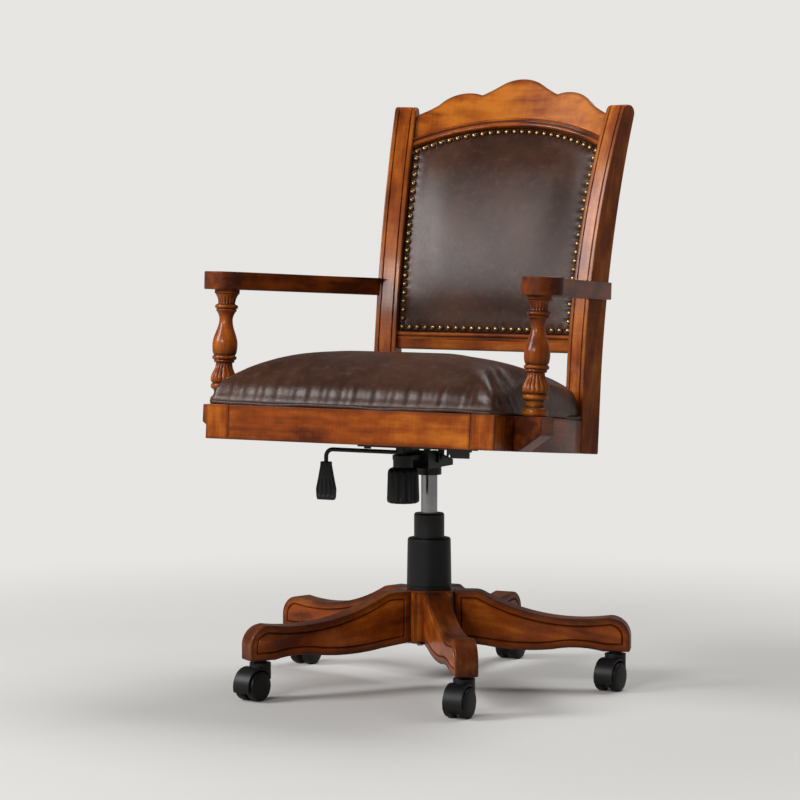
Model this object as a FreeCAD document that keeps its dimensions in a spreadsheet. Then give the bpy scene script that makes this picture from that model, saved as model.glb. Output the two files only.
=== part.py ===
"""Swivel armchair: turned wooden arms and back on a gas lift, with a five-leg castor base.

Millimetres and degrees. Z is up, the floor is z = 0, the column is the Z axis and the chair faces -Y.
The seat, arms and back are drawn square to the seat rails and placed together by SEAT, which leans them back
about the tilt pivot. The back posts are planks that sweep back, turned in plan to follow the bow of the back.
"""
import FreeCAD, Part
import math
import os
import re
import Sketcher

V = FreeCAD.Vector

SIZES = {
    # Castors
    "wheel_diameter": 50, "wheel_width": 18, "wheel_shoulder": 5, "wheel_spacing": 8, "wheel_cap": 3,
    "axle_diameter": 8, "axle_end_gap": 0.5,
    "castor_trail": 19.5, "hood_gap": 2, "hood_wall": 4, "hood_width": 34, "hood_lip_height": 15,
    "web_thickness": 7, "web_bottom": 19, "boss_diameter": 36, "boss_bottom": 34, "boss_top": 62,
    "neck_diameter": 22, "neck_height": 3.5, "leg_clearance": 1, "stem_diameter": 11, "stem_length": 34,
    "socket_wall": 1.5, "running_gap": 0.05,
    # Five-leg base
    "base_angle": 19.07, "stem_circle": 320, "nose_overhang": 26, "nose_radius": 35, "nose_top": 125,
    "leg_thickness": 38, "leg_top": 166, "shoulder_reach": 80, "shoulder_run": 14, "shoulder_drop": 3.5,
    "shoulder_radius": 32, "sweep_radius": 352, "pad_run": 20, "arch_run": 85, "arch_radius": 200,
    "belly_run": 116, "belly_radius": 400, "belly_rise": 6, "hub_apothem": 45, "hub_bottom": 79,
    "hub_plate_diameter": 88, "hub_plate_thickness": 3, "hub_screw_circle": 35, "hub_screw_diameter": 6,
    "hub_screw_length": 26, "hub_screw_head": 11, "screw_head_height": 3,
    # Gas lift
    "column_diameter": 52, "column_wall": 2.5, "column_floor": 3, "column_foot": 3, "column_top": 297,
    "cover_base_diameter": 77, "cover_top_diameter": 74, "cover_top": 255, "cover_wall": 2.5,
    "cover_round": 6, "bush_length": 60,
    "bearing_diameter": 30, "bearing_height": 6, "rod_diameter": 10, "rod_tail": 4,
    "collar_diameter": 20, "collar_height": 4, "piston_height": 8, "piston_rise": 2,
    "pressure_diameter": 28, "pressure_wall": 1.5, "guide_overlap": 52, "gland_height": 5, "lift_top": 388,
    "cap_thickness": 4, "pin_diameter": 5, "pin_stand": 4, "pin_length": 20,
    # Tilt housing
    "socket_bottom": 363, "socket_diameter": 42, "pan_bottom": 378, "pan_wall": 3, "pan_width": 60,
    "pan_rear": 32, "pan_front": -62, "pan_rear_height": 10, "pan_mid_height": 20, "pan_ear_y": -30,
    "pan_ear_height": 30, "pan_front_height": 32, "collar_rise": 5, "tongue_width": 36, "tongue_thickness": 8,
    "tongue_rise": 18, "sleeve_diameter": 34, "sleeve_bore": 28, "sleeve_length": 16, "bolt_slot": 14,
    "pivot_y": -20, "pivot_z": 396, "pivot_diameter": 10, "pivot_overhang": 2,
    # Tension knob
    "bolt_y": -97, "bolt_diameter": 8, "bolt_gap": 0.5, "bolt_head_diameter": 14, "bolt_head_height": 5,
    "knob_top_diameter": 52, "knob_base_diameter": 55, "knob_bottom": 323, "knob_top": 383, "knob_wall": 3,
    "knob_floor": 7, "knob_rib_depth": 1.5, "knob_ribs": 12, "spring_diameter": 25, "spring_wire": 3.5,
    "spring_turns": 6, "spring_seat_gap": 0.5,
    # Height lever
    "lever_y": -42, "lever_z": 402.5, "lever_diameter": 7.5, "lever_hole": 9, "lever_bend_x": -178,
    "lever_inner_x": -14, "lever_drop": 31.5, "finger_width": 10, "finger_gap": 0.4, "finger_top": 400,
    "paddle_top_width": 14, "paddle_base_width": 30, "paddle_thickness": 9, "paddle_length": 66,
    "paddle_lap": 10,
    # Seat plate and its screws
    "seat_rake": 5.3, "pivot_local_y": -15.9, "pivot_drop": 15, "plate_width": 100, "plate_thickness": 3,
    "plate_front": -165, "plate_rear": 92, "plate_flange": 14, "flange_front": -25, "flange_rear": 60,
    "ear_length": 20, "ear_gap": 1, "plate_screw_x": 40, "plate_screw_diameter": 6, "plate_screw_length": 30,
    # Seat frame
    "rail_height": 57.5, "rail_thickness": 24, "half_width": 266, "seat_front": -298.4, "corner_width": 43,
    "rear_half_width": 206, "side_straight_end": -175, "batten_width": 36, "batten_end_gap": 1,
    "board_thickness": 9, "board_gap": 0.5, "rear_rail_set_back": 12,
    # Seat cushion
    "cushion_height": 95, "cushion_inset": 2.5, "cushion_corner": 13, "cushion_gap": 0.3,
    "cushion_post_gap": 3, "cushion_rear": 236, "cushion_tail_taper": 0.82, "cushion_draw_in": 178,
    # Arms
    "arm_post_out": 25.5, "arm_post_x": "=half_width + arm_post_out", "arm_post_y": -203.7,
    "arm_bottom": 253, "arm_thickness": 30, "arm_tilt": 2.2,
    "arm_pad_radius": 35, "arm_pad_shift": 5, "arm_width": 34, "arm_notch_angle": 48, "arm_notch_run": 46,
    "arm_notch_radius": 24, "arm_proud": 12, "arm_short": 12, "arm_fit": 0.3,
    "block_width": 49, "block_length": 49, "block_chamfer_width": 39, "block_chamfer_height": 28,
    "turned_foot_radius": 26, "turned_neck_radius": 14.5, "turned_ring_radius": 19.4,
    "turned_vase_radius": 20.4, "turned_waist_radius": 12.4, "turned_cap_radius": 21.6, "foot_rise": 4,
    "ring_rise": 2.2, "bulb_rise": 5, "vase_rise": 2.7, "hollow_rise": 1, "cove_rise": 2.4,
    # Back
    "post_inner": 168, "post_width": 39.5, "post_depth": 50, "post_top_depth": 33, "post_front": 184.6,
    "post_turn": 14, "post_height": 615, "post_bend": 138, "post_rear_bend": 106, "post_sweep": 85,
    "post_top_radius": 14, "back_fit": 0.5, "back_set_back": 8, "rail_depth": 22, "rail_tenon": 6,
    "lower_rail_bottom": 174, "lower_rail_height": 31, "crest_spring": 539, "crest_lean": 16,
    "arch_rise": 50, "crest_end": 59.5, "shoulder_x": 151.5, "shoulder_height": 86.5, "shoulder_dip": 1.2,
    "shoulder_rise": 5.5, "hump_x": 103.5, "hump_height": 113.5, "hump_rise": 1.6, "valley_x": 74.3,
    "valley_height": 111, "brow_x": 43.5, "brow_height": 129, "brow_dip": 0.5, "crest_height": 143,
    "back_bow": 27,
    "pad_recess": 3, "pad_depth": 18, "pad_crown": 13, "pad_gap": 0.4, "panel_thickness": 6,
    "nail_diameter": 9.6, "nail_height": 3.4, "nail_pitch": 15.3, "nail_inset": 7.5, "nail_gap": 0.4,
}

LEGS = 5
# Direction that each castor trails, counted from +X
CASTOR_HEADINGS = (268, 90, 87, 259, 273)

doc = FreeCAD.newDocument("swivel_armchair")
sheet = doc.addObject("Spreadsheet::Sheet", "Sizes")
for row, (alias, size) in enumerate(SIZES.items(), start=1):
    sheet.set(f"A{row}", alias)
    sheet.set(f"B{row}", str(size))
    sheet.setAlias(f"B{row}", alias)
doc.recompute()

nodes = {}


# Expressions and placements

def bind(text):
    """Expression with every size read from the sheet."""
    return re.sub(r"[a-z]\w*", lambda word: f"Sizes.{word[0]}" if word[0] in SIZES else word[0], str(text))


def number(text):
    """Value of an expression of sizes."""
    value = sheet.evalExpression(str(text))
    return float(getattr(value, "Value", value))


def moved(x="0", y="0", z="0", axis=(0, 0, 1), angle="0"):
    """Placement expression: a turn about an axis, then a shift."""
    direction = "vector({}; {}; {})".format(*axis)
    return f"placement(vector({x}; {y}; {z}); rotation({direction}; {angle}))"


SEAT = (moved("0", "pivot_y", "pivot_z", (1, 0, 0), "-seat_rake")
        + " * " + moved("0", "-pivot_local_y", "pivot_drop"))
POST_RADIUS = "((post_sweep^2 + (post_height - post_bend)^2) / (2 * post_sweep))"
POST_FORE = "(post_front - post_width * sin(post_turn))"


def swept(height):
    """Distance that a back post has swept back, along its own depth, at a height over its bend."""
    return f"({POST_RADIUS} - sqrt({POST_RADIUS}^2 - ({height} - post_bend)^2))"


def inner_x(height):
    """Half-width between the front corners of the back posts at a height."""
    return f"(post_inner + {swept(height)} * sin(post_turn))"


def inner_y(height):
    """Depth of the inner front corners of the back posts at a height."""
    return f"(post_front + {swept(height)} * cos(post_turn))"


def run_radius(start, end, rise):
    """Radius of an arc from one corner (x, y) to the next, from its rise."""
    half = f"(sqrt(({start[0]} - ({end[0]}))^2 + ({start[1]} - ({end[1]}))^2) / 2)"
    return f"(({half}^2 + ({rise})^2) / (2 * ({rise})))"


CREST_Y = f"({inner_y('crest_spring')} + back_set_back)"
CREST = f"{SEAT} * {moved('0', CREST_Y, 'crest_spring', (1, 0, 0), '-crest_lean')}"


def place(thing, placement):
    """Binds an object's placement."""
    thing.setExpression("Placement", bind(placement))
    return thing


def node(name, thing, placement=None):
    """Names an object as a finished sub-part and places it."""
    if placement:
        place(thing, placement)
    thing.Label = name
    nodes[name] = thing
    return thing


# Solids from primitives

def box(x, y, z, placement=None):
    """Box between two expressions on each axis."""
    thing = doc.addObject("Part::Box", "box")
    for size, (low, high) in zip(("Length", "Width", "Height"), (x, y, z)):
        thing.setExpression(size, bind(f"({high}) - ({low})"))
    start = moved(x[0], y[0], z[0])
    return place(thing, f"{placement} * {start}" if placement else start)


def cylinder(radius, low, high, x="0", y="0", along="z", placement=None):
    """Cylinder along z at (x, y), or along x at (y, z) when along is "x" and its x and y are those two."""
    thing = doc.addObject("Part::Cylinder", "cylinder")
    thing.setExpression("Radius", bind(radius))
    thing.setExpression("Height", bind(f"({high}) - ({low})"))
    start = moved(x, y, low) if along == "z" else moved(low, x, y, (0, 1, 0), "90")
    return place(thing, f"{placement} * {start}" if placement else start)


def cut(base, *tools):
    """Base less every tool."""
    for tool in tools:
        result = doc.addObject("Part::Cut", "cut")
        result.Base, result.Tool = base, tool
        base = result
    return base


def fuse(*things):
    """One solid from touching things."""
    result = doc.addObject("Part::MultiFuse", "fuse")
    result.Shapes = list(things)
    result.Refine = True
    return result


def common(base, tool):
    """What two solids share."""
    result = doc.addObject("Part::Common", "common")
    result.Base, result.Tool = base, tool
    return result


def group(*things):
    """Separate solids that share one node."""
    result = doc.addObject("Part::Compound", "group")
    result.Links = list(things)
    return result


def mirrored(thing):
    """Left-hand copy of a right-hand piece."""
    result = doc.addObject("Part::Mirroring", "mirrored")
    result.Source = thing
    result.Normal = (1, 0, 0)
    return result


def pair(name, thing):
    """Right-hand piece and its left-hand copy, each its own node."""
    node(f"{name}_right", thing)
    node(f"{name}_left", mirrored(thing))


# Solids from sketches

def draw(body, plane, corners):
    """Closed sketch through corners (x, y[, radius]).

    A radius makes the run that follows its corner an arc, bulging to the left of the way that the outline
    runs, or to the right when it starts with a minus.
    """
    sketch = body.newObject("Sketcher::SketchObject", f"{body.Name}_outline")
    support = [part for part in body.Origin.OriginFeatures if part.Role == plane]
    sketch.AttachmentSupport = [(support[0], "")]
    sketch.MapMode = "FlatFace"
    points = [V(number(corner[0]), number(corner[1]), 0) for corner in corners]
    count = len(corners)
    ends = []
    for index, corner in enumerate(corners):
        start, end = points[index], points[(index + 1) % count]
        if len(corner) == 2:
            sketch.addGeometry(Part.LineSegment(start, end), False)
            ends.append((1, 2))
            continue
        radius = number(corner[2])
        chord = end - start
        left = V(-chord.y, chord.x, 0).normalize()
        depth = math.sqrt(radius ** 2 - chord.Length ** 2 / 4)
        centre = (start + end) / 2 - left * math.copysign(depth, radius)
        first, last = (end, start) if radius > 0 else (start, end)
        angles = [math.atan2(point.y - centre.y, point.x - centre.x) for point in (first, last)]
        if angles[1] < angles[0]:
            angles[1] += 2 * math.pi
        sketch.addGeometry(Part.ArcOfCircle(Part.Circle(centre, V(0, 0, 1), abs(radius)), *angles), False)
        ends.append((2, 1) if radius > 0 else (1, 2))
    for index in range(count):
        after = (index + 1) % count
        sketch.addConstraint(Sketcher.Constraint("Coincident", index, ends[index][1], after, ends[after][0]))
    for index, corner in enumerate(corners):
        for kind, text, value in zip(("DistanceX", "DistanceY"), corner, points[index]):
            rule = Sketcher.Constraint(kind, -1, 1, index, ends[index][0], value)
            sketch.setExpression(f"Constraints[{sketch.addConstraint(rule)}]", bind(text))
        if len(corner) == 3:
            rule = Sketcher.Constraint("Radius", index, abs(number(corner[2])))
            sketch.setExpression(f"Constraints[{sketch.addConstraint(rule)}]", bind(f"abs({corner[2]})"))
    return sketch


def padded(plane, corners, length, midplane=True):
    """Body with one padded outline."""
    body = doc.addObject("PartDesign::Body", "body")
    sketch = draw(body, plane, corners)
    feature = body.newObject("PartDesign::Pad", f"{body.Name}_pad")
    feature.Profile = sketch
    feature.Midplane = midplane
    feature.setExpression("Length", bind(length))
    body.Tip = feature
    return body


def turned(corners):
    """Body turned about z from an outline of (radius, height)."""
    body = doc.addObject("PartDesign::Body", "body")
    sketch = draw(body, "XZ_Plane", corners)
    feature = body.newObject("PartDesign::Revolution", f"{body.Name}_turn")
    feature.Profile = sketch
    feature.ReferenceAxis = (sketch, ["V_Axis"])
    feature.Angle = 360
    body.Tip = feature
    return body


def round_edges(body, radius, chosen):
    """Rounds the edges of a body's tip for which chosen(edge) is true."""
    doc.recompute()
    base = body.Tip
    names = [f"Edge{i}" for i, edge in enumerate(base.Shape.Edges, start=1) if chosen(edge)]
    feature = body.newObject("PartDesign::Fillet", f"{body.Name}_round")
    feature.Base = (base, names)
    feature.setExpression("Radius", bind(radius))
    body.Tip = feature
    return body


# Five-leg base

FOOT = "(boss_top + neck_height + leg_clearance)"
LEG_TIP = "(stem_circle + nose_overhang)"
PAD_END = "(stem_circle - pad_run)"
ARCH_END = f"({PAD_END} - arch_run)"
SOCKET_RADIUS = "(stem_diameter / 2 + running_gap + socket_wall)"
STEM_TOP = f"({FOOT} + stem_length)"
HUB_TURN = moved(angle=f"base_angle + {180 / LEGS}")


def leg_angle(index):
    """Direction of a leg, counted from +X."""
    return f"(base_angle + {360 / LEGS} * {index})"


def make_leg(index):
    """Carved leg, with a bore for its castor socket."""
    outline = [
        ("hub_apothem", "hub_bottom"),
        (f"{ARCH_END} - belly_run", f"{FOOT} + belly_rise", "-belly_radius"),
        (ARCH_END, f"{FOOT} + belly_rise / 3", "arch_radius"),
        (PAD_END, FOOT),
        (LEG_TIP, FOOT),
        (LEG_TIP, "nose_top - nose_radius", "-nose_radius"),
        (f"{LEG_TIP} - nose_radius", "nose_top", "sweep_radius"),
        ("shoulder_reach + shoulder_run", "leg_top - shoulder_drop", "-shoulder_radius"),
        ("shoulder_reach", "leg_top"),
        ("hub_apothem", "leg_top"),
    ]
    leg = padded("XZ_Plane", outline, "leg_thickness")
    bore = cylinder(SOCKET_RADIUS, FOOT, STEM_TOP, "stem_circle")
    node(f"base_leg_{index + 1}", cut(leg, bore), moved(angle=leg_angle(index)))


def make_socket(index):
    """Steel sleeve in a leg's end."""
    outside = cylinder(SOCKET_RADIUS, FOOT, STEM_TOP, "stem_circle")
    bore = cylinder("stem_diameter / 2 + running_gap", FOOT, STEM_TOP, "stem_circle")
    return place(cut(outside, bore), moved(angle=leg_angle(index)))


def make_hub():
    """Five-sided hub that the legs stand against, with the steel plate and screws under it."""
    plate_bottom = "(hub_bottom - hub_plate_thickness)"
    screws = []
    for index in range(LEGS):
        shank_top, head_bottom = "hub_bottom + hub_screw_length", f"{plate_bottom} - screw_head_height"
        shank = cylinder("hub_screw_diameter / 2", plate_bottom, shank_top, "hub_screw_circle")
        head = cylinder("hub_screw_head / 2", head_bottom, plate_bottom, "hub_screw_circle")
        screws.append(place(fuse(shank, head), f"{HUB_TURN} * {moved(angle=f'{360 / LEGS} * {index}')}"))
    prism = doc.addObject("Part::Prism", "prism")
    prism.Polygon = LEGS
    prism.setExpression("Circumradius", bind(f"hub_apothem / cos({180 / LEGS})"))
    prism.setExpression("Height", bind("leg_top - hub_bottom"))
    place(prism, f"{HUB_TURN} * {moved(z='hub_bottom')}")
    bore = cylinder("column_diameter / 2", "hub_bottom", "leg_top")
    node("base_hub", cut(prism, bore, *screws))
    disc = cylinder("hub_plate_diameter / 2", plate_bottom, "hub_bottom")
    hole = cylinder("bearing_diameter / 2", plate_bottom, "hub_bottom")
    node("hub_plate", cut(disc, hole, *screws))
    node("hub_screws", group(*screws))


# Castors: the stem is the local Z axis, and the axle lies castor_trail along local +Y

WHEEL_RADIUS = "(wheel_diameter / 2)"
HOOD_BORE = f"({WHEEL_RADIUS} + hood_gap)"
AXLE_REACH = "(wheel_spacing / 2 + wheel_width - wheel_cap - axle_end_gap)"


def castor_place(index):
    """Placement of a castor under its leg, turned the way that it trails."""
    x = f"stem_circle * cos{leg_angle(index)}"
    y = f"stem_circle * sin{leg_angle(index)}"
    return moved(x, y, "0", angle=f"{CASTOR_HEADINGS[index] - 90}")


def axle_cylinder(radius, low, high):
    """Cylinder on the castor's axle line."""
    return cylinder(radius, low, high, "castor_trail", WHEEL_RADIUS, along="x")


def make_castor_frame(index):
    """Hood, web, boss, stem and axle of one castor."""
    half_web = "web_thickness / 2"
    reach = "(castor_trail + wheel_diameter)"
    web = common(axle_cylinder(f"{HOOD_BORE} + hood_wall / 2", f"-{half_web}", half_web),
                 box((f"-{half_web}", half_web), ("-wheel_diameter", reach), ("web_bottom", "boss_top")))
    shell = cut(axle_cylinder(f"{HOOD_BORE} + hood_wall", "-hood_width / 2", "hood_width / 2"),
                axle_cylinder(HOOD_BORE, "-hood_width", "hood_width"))
    hood_room = box(("-hood_width / 2", "hood_width / 2"), ("0", reach), ("hood_lip_height", "boss_top"))
    hood = common(shell, hood_room)
    boss = cut(cylinder("boss_diameter / 2", "boss_bottom", "boss_top"),
               axle_cylinder(HOOD_BORE, half_web, "boss_diameter"),
               axle_cylinder(HOOD_BORE, "-boss_diameter", f"-{half_web}"))
    neck = cylinder("neck_diameter / 2", "boss_top", "boss_top + neck_height")
    stem = cylinder("stem_diameter / 2", "boss_top", STEM_TOP)
    axle = axle_cylinder("axle_diameter / 2", f"-{AXLE_REACH}", AXLE_REACH)
    node(f"castor_frame_{index + 1}", fuse(web, hood, boss, neck, stem, axle), castor_place(index))


def make_castor_wheel(index, side, angle):
    """Wheel with a rounded outer shoulder and a capped bore, on one end of the axle."""
    bore = "axle_diameter / 2 + running_gap"
    outline = [
        (bore, "0"),
        (f"{WHEEL_RADIUS} - wheel_shoulder / 3", "0", "-wheel_shoulder"),
        (WHEEL_RADIUS, "wheel_shoulder / 3"),
        (WHEEL_RADIUS, "wheel_width - wheel_shoulder", "-wheel_shoulder"),
        (f"{WHEEL_RADIUS} - wheel_shoulder", "wheel_width"),
        ("0", "wheel_width"),
        ("0", "wheel_width - wheel_cap"),
        (bore, "wheel_width - wheel_cap"),
    ]
    at_axle = moved("0", "castor_trail", WHEEL_RADIUS, (0, 1, 0), angle)
    spot = f"{castor_place(index)} * {at_axle} * {moved(z='wheel_spacing / 2')}"
    node(f"castor_wheel_{index + 1}_{side}", turned(outline), spot)


# Gas lift

COLUMN_BOTTOM = "(hub_bottom + column_foot)"
BEARING_BOTTOM = f"({COLUMN_BOTTOM} + column_floor)"
COLUMN_RADIUS = "(column_diameter / 2)"
COLUMN_BORE = f"({COLUMN_RADIUS} - column_wall)"
PRESSURE_RADIUS = "(pressure_diameter / 2)"
PRESSURE_BORE = f"({PRESSURE_RADIUS} - pressure_wall)"
PRESSURE_BOTTOM = "(column_top - guide_overlap)"
ROD_RADIUS = "(rod_diameter / 2)"
ROD_HOLE = f"({ROD_RADIUS} + running_gap)"
PIN_HOLE = "(pin_diameter / 2 + running_gap)"


def ring(inner, outer, low, high):
    """Plain turned ring."""
    return turned([(inner, low), (outer, low), (outer, high), (inner, high)])


def make_column():
    """Outer tube, plastic cover, guide bush and thrust bearing, which stay on the base."""
    node("column_tube", turned([
        (ROD_HOLE, COLUMN_BOTTOM),
        (COLUMN_RADIUS, COLUMN_BOTTOM),
        (COLUMN_RADIUS, "column_top"),
        (COLUMN_BORE, "column_top"),
        (COLUMN_BORE, BEARING_BOTTOM),
        (ROD_HOLE, BEARING_BOTTOM),
    ]))
    base_radius, top_radius = "cover_base_diameter / 2", "cover_top_diameter / 2"
    node("column_cover", turned([
        (f"{base_radius} - cover_wall", "leg_top"),
        (base_radius, "leg_top"),
        (top_radius, "cover_top - cover_round", "-cover_round"),
        (f"{top_radius} - cover_round", "cover_top"),
        (COLUMN_RADIUS, "cover_top"),
        (COLUMN_RADIUS, "cover_top - cover_wall"),
        (f"{top_radius} - cover_round", "cover_top - cover_wall", "cover_round - cover_wall"),
        (f"{top_radius} - cover_wall", "cover_top - cover_round"),
    ]))
    slide_bore = f"{PRESSURE_RADIUS} + running_gap"
    node("guide_bush", ring(slide_bore, COLUMN_BORE, "column_top - bush_length", "column_top"))
    bearing_top = f"{BEARING_BOTTOM} + bearing_height"
    node("thrust_bearing", ring(ROD_HOLE, "bearing_diameter / 2", BEARING_BOTTOM, bearing_top))


def make_lift():
    """Piston rod, pressure tube and valve pin."""
    collar = f"({BEARING_BOTTOM} + bearing_height)"
    piston = f"({PRESSURE_BOTTOM} + gland_height + piston_rise)"
    piston_radius = f"{PRESSURE_BORE} - running_gap"
    node("piston_rod", turned([
        ("0", f"{COLUMN_BOTTOM} - rod_tail"),
        (ROD_RADIUS, f"{COLUMN_BOTTOM} - rod_tail"),
        (ROD_RADIUS, collar),
        ("collar_diameter / 2", collar),
        ("collar_diameter / 2", f"{collar} + collar_height"),
        (ROD_RADIUS, f"{collar} + collar_height"),
        (ROD_RADIUS, piston),
        (piston_radius, piston),
        (piston_radius, f"{piston} + piston_height"),
        ("0", f"{piston} + piston_height"),
    ]))
    node("pressure_tube", turned([
        (ROD_HOLE, PRESSURE_BOTTOM),
        (PRESSURE_RADIUS, PRESSURE_BOTTOM),
        (PRESSURE_RADIUS, "lift_top"),
        (PIN_HOLE, "lift_top"),
        (PIN_HOLE, "lift_top - cap_thickness"),
        (PRESSURE_BORE, "lift_top - cap_thickness"),
        (PRESSURE_BORE, f"{PRESSURE_BOTTOM} + gland_height"),
        (ROD_HOLE, f"{PRESSURE_BOTTOM} + gland_height"),
    ]))
    pin_top = "lift_top + pin_stand"
    node("valve_pin", cylinder("pin_diameter / 2", f"{pin_top} - pin_length", pin_top))


# Tilt mechanism

TONGUE_BOTTOM = "(pan_bottom + tongue_rise)"
TONGUE_TOP = f"({TONGUE_BOTTOM} + tongue_thickness)"
EAR_INNER = "(pan_width / 2 + ear_gap)"
PIVOT_REACH = f"({EAR_INNER} + plate_thickness + pivot_overhang)"
PLATE_AT_BOLT = "(pivot_z + pivot_drop / cos(seat_rake) - (bolt_y - pivot_y) * tan(seat_rake))"
BOLT_END = "(knob_bottom + knob_floor / 3)"
ROD_END = "(lever_z - lever_drop)"


def make_housing():
    """Pressed pan on the gas lift, with the socket, the front tongue and the spring sleeve."""
    pan = padded("YZ_Plane", [
        ("pan_front", "pan_bottom"),
        ("pan_rear", "pan_bottom"),
        ("pan_rear", "pan_bottom + pan_rear_height"),
        ("0", "pan_bottom + pan_mid_height"),
        ("pan_ear_y", "pan_bottom + pan_ear_height"),
        ("pan_front", "pan_bottom + pan_front_height"),
    ], "pan_width")
    half = "(pan_width / 2 - pan_wall)"
    hollow = box((f"-{half}", half), ("pan_front + pan_wall", "pan_rear - pan_wall"),
                 ("pan_bottom + pan_wall", "pan_bottom + 2 * pan_front_height"))
    socket = cylinder("socket_diameter / 2", "socket_bottom", "pan_bottom + pan_wall + collar_rise")
    tongue = box(("-tongue_width / 2", "tongue_width / 2"), ("bolt_y", "pan_front + pan_wall"),
                 (TONGUE_BOTTOM, TONGUE_TOP))
    tongue_end = cylinder("tongue_width / 2", TONGUE_BOTTOM, TONGUE_TOP, "0", "bolt_y")
    sleeve_bottom = f"{TONGUE_BOTTOM} - sleeve_length"
    sleeve = cut(cylinder("sleeve_diameter / 2", sleeve_bottom, TONGUE_BOTTOM, "0", "bolt_y"),
                 cylinder("sleeve_bore / 2", sleeve_bottom, TONGUE_BOTTOM, "0", "bolt_y"))
    whole = fuse(cut(pan, hollow), socket, tongue, tongue_end, sleeve)
    tube_bore = cylinder(PRESSURE_RADIUS, "socket_bottom", "lift_top + pin_stand")
    pivot_bore = cylinder("pivot_diameter / 2", "-pan_width", "pan_width", "pivot_y", "pivot_z", along="x")
    lever_bore = cylinder("lever_hole / 2", "-pan_width", "0", "lever_y", "lever_z", along="x")
    slot = cylinder("bolt_slot / 2", TONGUE_BOTTOM, TONGUE_TOP, "0", "bolt_y")
    node("tilt_housing", cut(whole, tube_bore, pivot_bore, lever_bore, slot))
    pivot_start = f"({half} - pivot_overhang)"
    right_pin = cylinder("pivot_diameter / 2", pivot_start, PIVOT_REACH, "pivot_y", "pivot_z", along="x")
    node("tilt_pivot_pins", group(right_pin, mirrored(right_pin)))


def make_lever():
    """Bent height lever with its finger over the valve pin, and the paddle on its end."""
    radius = "lever_diameter / 2"
    rod = cylinder(radius, "lever_bend_x", "lever_inner_x", "lever_y", "lever_z", along="x")
    drop = cylinder(radius, ROD_END, "lever_z", "lever_bend_x", "lever_y")
    elbow = doc.addObject("Part::Sphere", "elbow")
    elbow.setExpression("Radius", bind(radius))
    place(elbow, moved("lever_bend_x", "lever_y", "lever_z"))
    finger = box(("lever_inner_x - finger_width / 2", "finger_width / 2"),
                 ("lever_y - finger_width / 2", "finger_width / 2"),
                 ("lift_top + pin_stand + finger_gap", "finger_top"))
    node("height_lever", fuse(rod, drop, elbow, finger))
    top, bottom = f"{ROD_END} + paddle_lap", f"{ROD_END} + paddle_lap - paddle_length"
    paddle = padded("XZ_Plane", [
        ("lever_bend_x - paddle_base_width / 2", bottom),
        ("lever_bend_x + paddle_base_width / 2", bottom),
        ("lever_bend_x + paddle_top_width / 2", top),
        ("lever_bend_x - paddle_top_width / 2", top),
    ], "paddle_thickness")
    hole = cylinder(radius, ROD_END, "lever_z", "lever_bend_x", "0")
    node("lever_paddle", cut(paddle, hole), moved("0", "lever_y", "0"))


def make_tension():
    """Tension bolt, coil spring and ribbed knob."""
    head_bottom = f"({PLATE_AT_BOLT} + bolt_head_diameter / 2 * tan(seat_rake))"
    shank = cylinder("bolt_diameter / 2", BOLT_END, head_bottom, "0", "bolt_y")
    head = cylinder("bolt_head_diameter / 2", head_bottom, f"{head_bottom} + bolt_head_height", "0", "bolt_y")
    node("tension_bolt", fuse(shank, head))
    bore = "bolt_diameter / 2 + running_gap"
    cup_bore = "knob_top_diameter / 2 - knob_wall - knob_rib_depth"
    cup = turned([
        ("0", "knob_bottom"),
        ("knob_base_diameter / 2", "knob_bottom"),
        ("knob_top_diameter / 2", "knob_top"),
        (cup_bore, "knob_top"),
        (cup_bore, "knob_bottom + knob_floor"),
        (bore, "knob_bottom + knob_floor"),
        (bore, BOLT_END),
        ("0", BOLT_END),
    ])
    flutes = []
    flute_x = "knob_base_diameter / 2 + knob_rib_depth / 2"
    for index in range(int(number("knob_ribs"))):
        turn = moved(angle=f"360 / knob_ribs * {index}")
        flutes.append(cylinder("2 * knob_rib_depth", "knob_bottom", "knob_top", flute_x, placement=turn))
    node("tension_knob", cut(cup, group(*flutes)), moved("0", "bolt_y", "0"))
    low = "(knob_bottom + knob_floor + spring_wire / 2 + spring_seat_gap)"
    high = f"({TONGUE_BOTTOM} - spring_wire / 2 - spring_seat_gap)"
    coil = doc.addObject("Part::Helix", "coil")
    coil.setExpression("Height", bind(f"{high} - {low}"))
    coil.setExpression("Pitch", bind(f"({high} - {low}) / spring_turns"))
    coil.setExpression("Radius", bind("(spring_diameter - spring_wire) / 2"))
    wire = doc.addObject("Part::Circle", "wire")
    wire.setExpression("Radius", bind("spring_wire / 2"))
    place(wire, moved("(spring_diameter - spring_wire) / 2", "0", "0", (1, 0, 0), "90"))
    spring = doc.addObject("Part::Sweep", "spring")
    spring.Sections = [wire]
    spring.Spine = coil
    spring.Solid = True
    spring.Frenet = True
    node("tension_spring", spring, moved("0", "bolt_y", low))


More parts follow.
